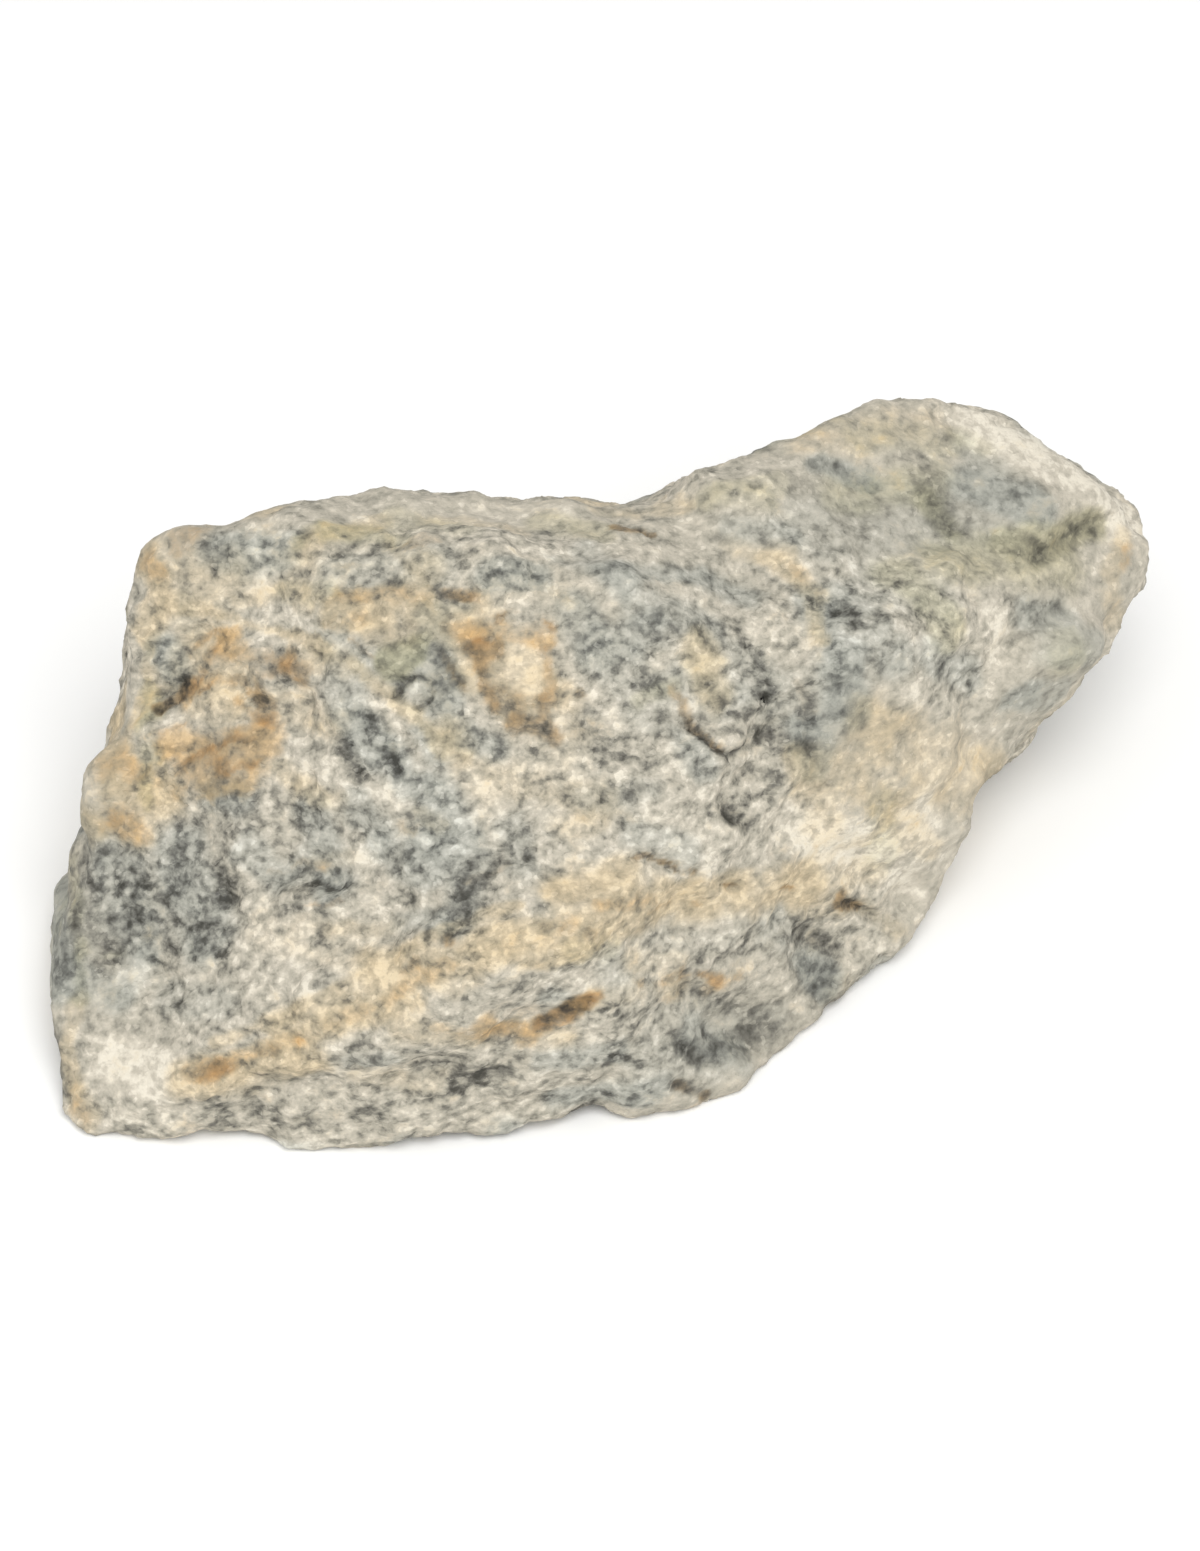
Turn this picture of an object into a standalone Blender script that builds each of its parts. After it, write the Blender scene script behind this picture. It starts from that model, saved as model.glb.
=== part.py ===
# A rough hand-sized piece of banded gneiss, lying on its broad flat side.
# Metres, +Z up, the long side along X. The pale sloping face looks towards -Y.
# The origin is on the resting plane, under the middle of the stone's box.

import math

import bmesh
import bpy
from mathutils import Matrix, Vector, noise

MM = 0.001

# The stone is drawn as it looks from the front, 45 degrees above the resting plane.
# "Across" runs to the right and "up" runs up that view, both in millimetres.
LOOK_RISE = math.radians(45)
ACROSS = Vector((1, 0, 0))
UP = Vector((0, math.sin(LOOK_RISE), math.cos(LOOK_RISE)))
TOWARDS = Vector((0, -math.cos(LOOK_RISE), math.sin(LOOK_RISE)))

# The outline seen in that view, from the top left corner and clockwise.
OUTLINE = [
    (-49.5, 64), (-39.5, 64), (-31, 68.5), (-23, 68), (-14, 68.5), (-1, 67.5), (10, 71),
    (24.5, 77), (35, 83.5), (44.5, 77.5), (52.5, 73), (59, 67.5), (60, 63), (62.5, 54.5),
    (54, 49.5), (46, 43), (38.5, 35.5), (37, 26.5), (32, 19), (25, 13.5), (20.5, 8.5),
    (14.5, 6), (12.5, 1), (-7, -3), (-14, -6), (-34, -4.5), (-40, -3.5), (-54, -2),
    (-61, 3), (-60.5, 14), (-59.5, 22), (-57.5, 34), (-53.5, 47.5), (-52, 57.5),
]
SLAB_REACH = 90  # how far the outline runs towards and away from the view

# Each broken face: which way it looks (0 is +X, 90 is +Y), how far up it looks, in
# degrees, and a point on it, in millimetres.
FACES = {
    "resting side": (0, -90, (0, 0, 0)),
    "lower front": (268, 6, (-34, -2.5, 0)),
    "lower front, right half": (284, 8, (0, 0.8, 0)),
    "lower right corner": (308, 10, (22, 12, 3)),
    "main slope": (268, 66, (-10, 4, 25)),
    "left slope": (232, 52, (-46, 2, 8)),
    "left end": (180, 16, (-55.5, 30, 22.5)),
    "top": (95, 85, (-10, 45, 41.5)),
    "right shoulder": (322, 42, (34, 29, 24)),
    "nose top": (334, 74, (27, 43.5, 36)),
    "nose flank": (312, 20, (54.5, 53, 18)),
    "nose end": (8, 12, (61, 66, 20)),
    "nose back": (50, 16, (52, 79, 20)),
    "back, right half": (82, 16, (20, 87, 16)),
    "back, left half": (106, 14, (-20, 66, 16)),
    "back foot": (95, -32, (-5, 68, 8)),
    "left foot": (182, -14, (-62, 20, 8)),
    "nose foot": (350, -42, (48, 62, 6)),
}

# Relief on the side that the view shows, in across and up. A groove or rib has its
# points, half width and height; a hollow or boss has its middle, half widths and height.
GROOVES = {
    "saddle between body and nose": ([(-1, 72), (5.5, 66.5), (14, 60)], 3.4, 1.6),
    "crack by the left end": ([(-49, 48.4), (-44.4, 52.4)], 1.6, 1.4),
    "notch at the lower right": ([(26, 27.6), (31.5, 25.5)], 1.9, 1.6),
    "rusty seam": ([(-11, 12.4), (-1, 16.4)], 1.8, 0.9),
    "undercut below the nose top": ([(39, 58.6), (48, 62.6), (57, 66)], 2.2, 1.3),
}
RIBS = {
    "pale vein": ([(-29.5, 54.5), (-19.6, 47.3), (-11, 40.8)], 1.6, 0.9),
    "front ridge": ([(-45, 8), (-28, 16), (-14, 21), (6, 25), (26, 26.5)], 2.6, 0.8),
}
HOLLOWS = {
    "hollow beside the nose": ((15.5, 47.5), (6.5, 8.5), 3.0),
    "hollow under the pale vein": ((-26, 43.5), (6.5, 4.5), 1.2),
    "dark patch at the left": ((-44, 27.5), (7, 8), 1.0),
    "dark clot": ((-13.6, 28), (3.2, 4.6), 1.1),
    "dark pit": ((15.2, 35.9), (2.6, 2.2), 1.2),
    "lower right scoop": ((23.5, 21.5), (4.2, 3.2), 1.3),
    "scooped corner": ((11, 12), (5.5, 4), 1.1),
}
BOSSES = {
    "cream knob": ((-8.7, 54.4), (5, 4.5), 1.4),
    "brow over the saddle": ((-14, 62), (12, 4), 0.9),
    "cream shoulder": ((27, 34), (6, 5), 1.2),
    "plate at the nose's root": ((29, 49), (5, 8), 1.5),
}

# The stone's banding lies almost level, and its hard layers stand out as ledges.
BANDING = Vector((-0.10, -0.06, 1)).normalized()
LEDGE_HEIGHT = 4.2
LEDGE_DEPTH = 0.9
LEDGE_EDGE = 0.22  # share of a layer over which its ledge rises, and falls again
LEDGE_STEP = 0.8  # how far the gentle faces step down from one layer to the next
LAYER_BENDS = (19, 1.8)  # wavelength and height
LEDGE_PATCHES = 21  # ledges show in patches of about this size
LAYER_SEED, PATCH_SEED = 5, 8

# Lumps over the whole stone: wavelength, height, and a seed for the noise.
BULGES = (26, 1.4, 0)
CRUMBS = (4.5, 0.4, 3)
SEED_STRIDE = Vector((1.9, 2.7, 4.1))  # keeps the patterns of two seeds apart

# Chips are the small flat breaks: how wide one is, how much it leans, and how far one
# stands over the next.
CHIPS = [
    (16, 0.26, 0.8),
    (7.5, 0.22, 0.3),
]
CHIP_FLATTENING = 1.6  # a chip is this much wider along the banding than across it
CHIP_EDGE = 0.16  # share of a chip that slopes to the next one
CHIP_SCATTER = 61.7  # makes the leans of neighbouring chips unlike

BLANK_CELL = 1.0  # space between points while the relief is cut
WEAR_PASSES = 8
RELIEF_WEAR_PASSES = 2
TRIANGLES = 8800
FOOT_LEVEL = -0.25  # the lowest bumps of the underside are cut off flat at this height
GROUND_DEPTH = 20

STONE_COLOUR = (0.50, 0.46, 0.38, 1)
STONE_ROUGHNESS = 0.85


def clear_scene():
    for obj in list(bpy.data.objects):
        bpy.data.objects.remove(obj, do_unlink=True)


def direction(azimuth, rise):
    a, r = math.radians(azimuth), math.radians(rise)
    return Vector((math.cos(a) * math.cos(r), math.sin(a) * math.cos(r), math.sin(r)))


def outline_slab(name):
    """A thick slab with the stone's outline, standing square to the view."""
    curve = bpy.data.curves.new(name, "CURVE")
    curve.dimensions = "2D"
    curve.fill_mode = "BOTH"
    curve.extrude = SLAB_REACH * MM
    spline = curve.splines.new("POLY")
    spline.points.add(len(OUTLINE) - 1)
    for point, (across, up) in zip(spline.points, OUTLINE):
        point.co = (across * MM, up * MM, 0, 1)
    spline.use_cyclic_u = True
    obj = bpy.data.objects.new(name, curve)
    bpy.context.collection.objects.link(obj)
    axes = Matrix((ACROSS, UP, TOWARDS)).transposed()
    obj.matrix_world = axes.to_4x4()
    return obj


def as_mesh_object(obj, name):
    """The object as the viewport shows it, as plain mesh in world space."""
    bpy.context.view_layer.update()
    evaluated = obj.evaluated_get(bpy.context.evaluated_depsgraph_get())
    mesh = bpy.data.meshes.new_from_object(evaluated)
    mesh.transform(obj.matrix_world)
    bpy.data.objects.remove(obj, do_unlink=True)
    made = bpy.data.objects.new(name, mesh)
    bpy.context.collection.objects.link(made)
    return made


def cut_flat(bm, point, normal):
    """Takes off all that lies beyond a plane, and closes the cut."""
    everything = bm.verts[:] + bm.edges[:] + bm.faces[:]
    bmesh.ops.bisect_plane(
        bm, geom=everything, dist=1e-7, plane_co=point, plane_no=normal, clear_outer=True
    )
    open_edges = [edge for edge in bm.edges if edge.is_boundary]
    bmesh.ops.holes_fill(bm, edges=open_edges)


def break_faces(obj):
    """Breaks the slab down to the block that the flat faces leave."""
    bm = bmesh.new()
    bm.from_mesh(obj.data)
    bmesh.ops.remove_doubles(bm, verts=bm.verts, dist=1e-6)
    for azimuth, rise, point in FACES.values():
        cut_flat(bm, Vector(point) * MM, direction(azimuth, rise))
    bmesh.ops.recalc_face_normals(bm, faces=bm.faces)
    bm.to_mesh(obj.data)
    bm.free()


def wear_edges(obj):
    """An even mesh over the broken block, with its edges rounded as handling rounds them."""
    cells = obj.modifiers.new("Even cells", "REMESH")
    cells.mode = "VOXEL"
    cells.voxel_size = BLANK_CELL * MM
    worn = obj.modifiers.new("Worn edges", "SMOOTH")
    worn.factor = 0.5
    worn.iterations = WEAR_PASSES
    return as_mesh_object(obj, "worn_block")


def smooth_step(low, high, value):
    t = min(max((value - low) / (high - low), 0), 1)
    return t * t * (3 - 2 * t)


def distance_to_line(place, points):
    """The shortest distance from a place to a line through points."""
    nearest = math.inf
    for start, end in zip(points, points[1:]):
        a, b = Vector(start), Vector(end)
        share = min(max((place - a).dot(b - a) / (b - a).length_squared, 0), 1)
        nearest = min(nearest, (place - a.lerp(b, share)).length)
    return nearest


def bell(distance):
    """1 at the middle, falling smoothly to 0 at a distance of about 2."""
    return math.exp(-distance * distance)


def named_relief(p, normal):
    """How far the named grooves, ribs, hollows and bosses move a point outwards."""
    facing = smooth_step(-0.15, 0.35, normal.dot(TOWARDS))
    if facing == 0:
        return 0
    place = Vector((p.dot(ACROSS), p.dot(UP)))
    height = 0
    for table, sign in ((GROOVES, -1), (RIBS, 1)):
        for points, width, depth in table.values():
            height += sign * depth * bell(distance_to_line(place, points) / width)
    for table, sign in ((HOLLOWS, -1), (BOSSES, 1)):
        for centre, radii, depth in table.values():
            away = place - Vector(centre)
            height += sign * depth * bell(math.hypot(away.x / radii[0], away.y / radii[1]))
    return height * facing


def drift(p, wavelength, seed):
    """Smooth noise, from about -1 to 1."""
    return noise.noise(p / wavelength + SEED_STRIDE * seed)


def chip_height(p, width, lean, step):
    """The height of the flat chip that holds a point, sloping at its edge to the next one."""
    spread = (p + BANDING * p.dot(BANDING) * (CHIP_FLATTENING - 1)) / width
    distances, centres = noise.voronoi(spread)
    heights = []
    for centre in centres[:2]:
        roll = noise.cell_vector(centre * CHIP_SCATTER) - Vector((0.5, 0.5, 0.5))
        heights.append(step * (roll.x + roll.y) + lean * width * roll.dot(spread - centre))
    own = 0.5 + 0.5 * smooth_step(0, CHIP_EDGE, distances[1] - distances[0])
    return own * heights[0] + (1 - own) * heights[1]


def ledge_height(p, normal):
    """The banding's hard layers stand out of the steep faces, and step down the gentle ones."""
    wavelength, height = LAYER_BENDS
    layer = (p.dot(BANDING) + height * drift(p, wavelength, LAYER_SEED)) / LEDGE_HEIGHT
    number = math.floor(layer)
    inside = layer - number
    hardness = noise.cell(Vector((number, 0, 0)))
    out_and_back = smooth_step(0, LEDGE_EDGE, min(inside, 1 - inside))
    stair = smooth_step(0.3, 0.7, inside) - inside
    steepness = 1 - normal.z * normal.z
    rise = LEDGE_DEPTH * hardness * out_and_back * steepness
    rise += LEDGE_STEP * stair * (1 - steepness)
    return rise * smooth_step(-0.25, 0.35, drift(p, LEDGE_PATCHES, PATCH_SEED))


def broken_relief(p, normal):
    """Bulges, crumbs, chips and ledges over the whole stone."""
    rise = ledge_height(p, normal)
    for wavelength, height, seed in (BULGES, CRUMBS):
        rise += height * drift(p, wavelength, seed)
    for width, lean, step in CHIPS:
        rise += chip_height(p, width, lean, step)
    return rise


def cut_relief(obj):
    """Moves each point of the even mesh along its normal, by the relief there."""
    bm = bmesh.new()
    bm.from_mesh(obj.data)
    bm.normal_update()
    moves = []
    for vert in bm.verts:
        p = vert.co / MM
        rise = named_relief(p, vert.normal) + broken_relief(p, vert.normal)
        moves.append(vert.normal * rise * MM)
    for vert, move in zip(bm.verts, moves):
        vert.co += move
    for _ in range(RELIEF_WEAR_PASSES):
        bmesh.ops.smooth_vert(
            bm, verts=bm.verts, factor=0.5, use_axis_x=True, use_axis_y=True, use_axis_z=True
        )
    bm.to_mesh(obj.data)
    bm.free()


def thin_out(obj, name):
    """The relief with as few triangles as keep its form."""
    obj.data.calc_loop_triangles()
    fewer = obj.modifiers.new("Fewer faces", "DECIMATE")
    fewer.ratio = TRIANGLES / len(obj.data.loop_triangles)
    return as_mesh_object(obj, name)


def settle(obj):
    """Puts the stone over the origin, with its resting plane at height 0."""
    corners = [v.co for v in obj.data.vertices]
    middle_x, middle_y = (
        (min(c[i] for c in corners) + max(c[i] for c in corners)) / 2 for i in range(2)
    )
    obj.data.transform(Matrix.Translation((-middle_x, -middle_y, -FOOT_LEVEL * MM)))


def resting_ground(name, stone):
    """The block that cuts the lowest bumps of the underside off flat."""
    bm = bmesh.new()
    bmesh.ops.create_cube(bm, size=1)
    reach = 1.5 * max(stone.dimensions)
    depth = GROUND_DEPTH * MM
    bmesh.ops.scale(bm, verts=bm.verts, vec=(reach, reach, depth))
    bmesh.ops.translate(bm, verts=bm.verts, vec=(0, 0, -depth / 2))
    mesh = bpy.data.meshes.new(name)
    bm.to_mesh(mesh)
    bm.free()
    ground = bpy.data.objects.new(name, mesh)
    ground.hide_render = True
    ground.display_type = "WIRE"
    return ground


def stone_material():
    material = bpy.data.materials.new("grey and tan gneiss")
    material.use_nodes = True
    shader = material.node_tree.nodes["Principled BSDF"]
    shader.inputs["Base Color"].default_value = STONE_COLOUR
    shader.inputs["Roughness"].default_value = STONE_ROUGHNESS
    shader.inputs["Metallic"].default_value = 0
    return material


def move_to_collection(obj, name):
    for collection in list(obj.users_collection):
        collection.objects.unlink(obj)
    new = bpy.data.collections.new(name)
    bpy.context.scene.collection.children.link(new)
    new.objects.link(obj)


def build():
    clear_scene()
    block = as_mesh_object(outline_slab("slab"), "block")
    break_faces(block)
    worn = wear_edges(block)
    cut_relief(worn)
    rock = thin_out(worn, "rock")
    settle(rock)
    rock.data.materials.clear()
    rock.data.materials.append(stone_material())
    ground = resting_ground("resting ground", rock)
    move_to_collection(rock, "rough rock")
    move_to_collection(ground, "cutters")
    foot = rock.modifiers.new("Resting face", "BOOLEAN")
    foot.operation = "DIFFERENCE"
    foot.object = ground


build()
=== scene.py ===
# A hand-sized broken piece of banded gneiss, lying on a pale floor.
# Metres, +Z up. It is seen along +Y, from 45 degrees above the floor.
import math
import random

import bmesh
import bpy
import numpy as np
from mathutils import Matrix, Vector, noise
from mathutils.bvhtree import BVHTree


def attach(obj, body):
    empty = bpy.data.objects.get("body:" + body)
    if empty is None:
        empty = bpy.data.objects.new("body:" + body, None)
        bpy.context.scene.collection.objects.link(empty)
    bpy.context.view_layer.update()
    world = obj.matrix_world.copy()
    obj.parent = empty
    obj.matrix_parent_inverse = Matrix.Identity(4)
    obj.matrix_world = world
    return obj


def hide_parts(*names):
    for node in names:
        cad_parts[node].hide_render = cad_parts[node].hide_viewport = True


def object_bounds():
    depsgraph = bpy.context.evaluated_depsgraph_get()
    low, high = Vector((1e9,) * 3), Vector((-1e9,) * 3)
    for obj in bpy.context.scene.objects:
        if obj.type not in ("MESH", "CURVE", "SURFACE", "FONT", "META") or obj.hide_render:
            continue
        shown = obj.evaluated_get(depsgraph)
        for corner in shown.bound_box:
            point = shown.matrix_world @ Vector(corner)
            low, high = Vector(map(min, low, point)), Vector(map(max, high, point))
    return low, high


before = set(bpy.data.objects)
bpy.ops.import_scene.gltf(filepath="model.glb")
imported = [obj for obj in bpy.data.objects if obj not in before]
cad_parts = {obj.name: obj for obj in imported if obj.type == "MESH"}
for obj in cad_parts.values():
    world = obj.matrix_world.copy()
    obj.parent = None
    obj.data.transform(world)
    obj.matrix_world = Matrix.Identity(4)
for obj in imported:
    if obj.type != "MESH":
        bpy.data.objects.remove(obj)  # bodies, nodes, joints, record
cadLow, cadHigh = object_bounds()
mm = 0.001
noise.seed_set(3)  # it would otherwise start from the clock

# the view
view = {
    "rise": 45,  # degrees above the floor
    "distance": 600,  # mm from the stone to the camera
    "aim": (-0.8, -4.3, -4.4),  # mm from the middle of the stone's box to the picture's middle
    "lens": 128,
    "sensor": 36,
}
viewRise = math.radians(view["rise"])
viewRight = Vector((1, 0, 0))
viewUp = Vector((0, math.sin(viewRise), math.cos(viewRise)))
viewBack = Vector((0, -math.cos(viewRise), math.sin(viewRise)))
aim = (cadLow + cadHigh) / 2 + Vector(view["aim"]) * mm
eye = aim + viewBack * view["distance"] * mm


def addCamera():
    data = bpy.data.cameras.new("camera")
    data.lens = view["lens"]
    data.sensor_width = view["sensor"]
    camera = bpy.data.objects.new("camera", data)
    camera.location = eye
    camera.rotation_euler = viewBack.to_track_quat("Z", "Y").to_euler()
    bpy.context.collection.objects.link(camera)
    bpy.context.scene.camera = camera


# the stone's fine form
stone = {
    "cell": 0.57,  # mm between points
    "smoothing": 6,
    "banding": (-0.10, -0.06, 1),  # square to the layers
    "chips": [(4.2, 0.21, 0.24), (2.0, 0.24, 0.14)],  # width mm, lean, step mm
    "chipFlattening": 1.6,
    "chipEdge": 0.2,
    "crumb": (1.7, 0.2, 3),  # wavelength mm, height mm, octaves
    "lamina": (1.25, 0.08),  # spacing mm, height mm
    "laminaBends": [(12, 0.7), (2.2, 0.15)],  # wavelength mm, reach mm
    "laminaLength": 14,  # mm along a layer before it changes
    "laminaPatch": 17,  # mm between places with and without lamina
    "clotDepth": 0.22,  # mm that dark minerals lie lower, and brown ones half of it
    "cutEdge": (0.2, 1.2),  # shares of a cut's radius between which it fades
    "calmness": 0.5,  # share of the relief that calm places lose
}
banding = Vector(stone["banding"]).normalized()


def smoothStep(low, high, value):
    t = np.clip((value - low) / (high - low), 0, 1)
    return t * t * (3 - 2 * t)


def fineCopy(node, name):
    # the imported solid, merged and then covered with an even fine mesh
    bm = bmesh.new()
    bm.from_mesh(node.data)
    bmesh.ops.remove_doubles(bm, verts=bm.verts, dist=0.001 * mm)
    mesh = bpy.data.meshes.new(name + "_blank")
    bm.to_mesh(mesh)
    bm.free()
    blank = bpy.data.objects.new(name + "_blank", mesh)
    bpy.context.collection.objects.link(blank)
    cells = blank.modifiers.new("even cells", "REMESH")
    cells.mode = "VOXEL"
    cells.voxel_size = stone["cell"] * mm
    soft = blank.modifiers.new("no facets", "SMOOTH")
    soft.factor = 0.5
    soft.iterations = stone["smoothing"]
    bpy.context.view_layer.update()
    shown = blank.evaluated_get(bpy.context.evaluated_depsgraph_get())
    piece = bpy.data.objects.new(name, bpy.data.meshes.new_from_object(shown))
    bpy.context.collection.objects.link(piece)
    bpy.data.objects.remove(blank, do_unlink=True)
    bpy.data.meshes.remove(mesh)
    piece.data.name = name
    return piece


def pointsOf(mesh):
    # the mesh's points in mm, and the way each one faces
    places = np.zeros(len(mesh.vertices) * 3)
    facing = np.zeros(len(mesh.vertices) * 3)
    mesh.vertices.foreach_get("co", places)
    mesh.vertices.foreach_get("normal", facing)
    return places.reshape(-1, 3) / mm, facing.reshape(-1, 3)


def eachPoint(work, places):
    return np.array([work(Vector(place)) for place in places])


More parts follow.
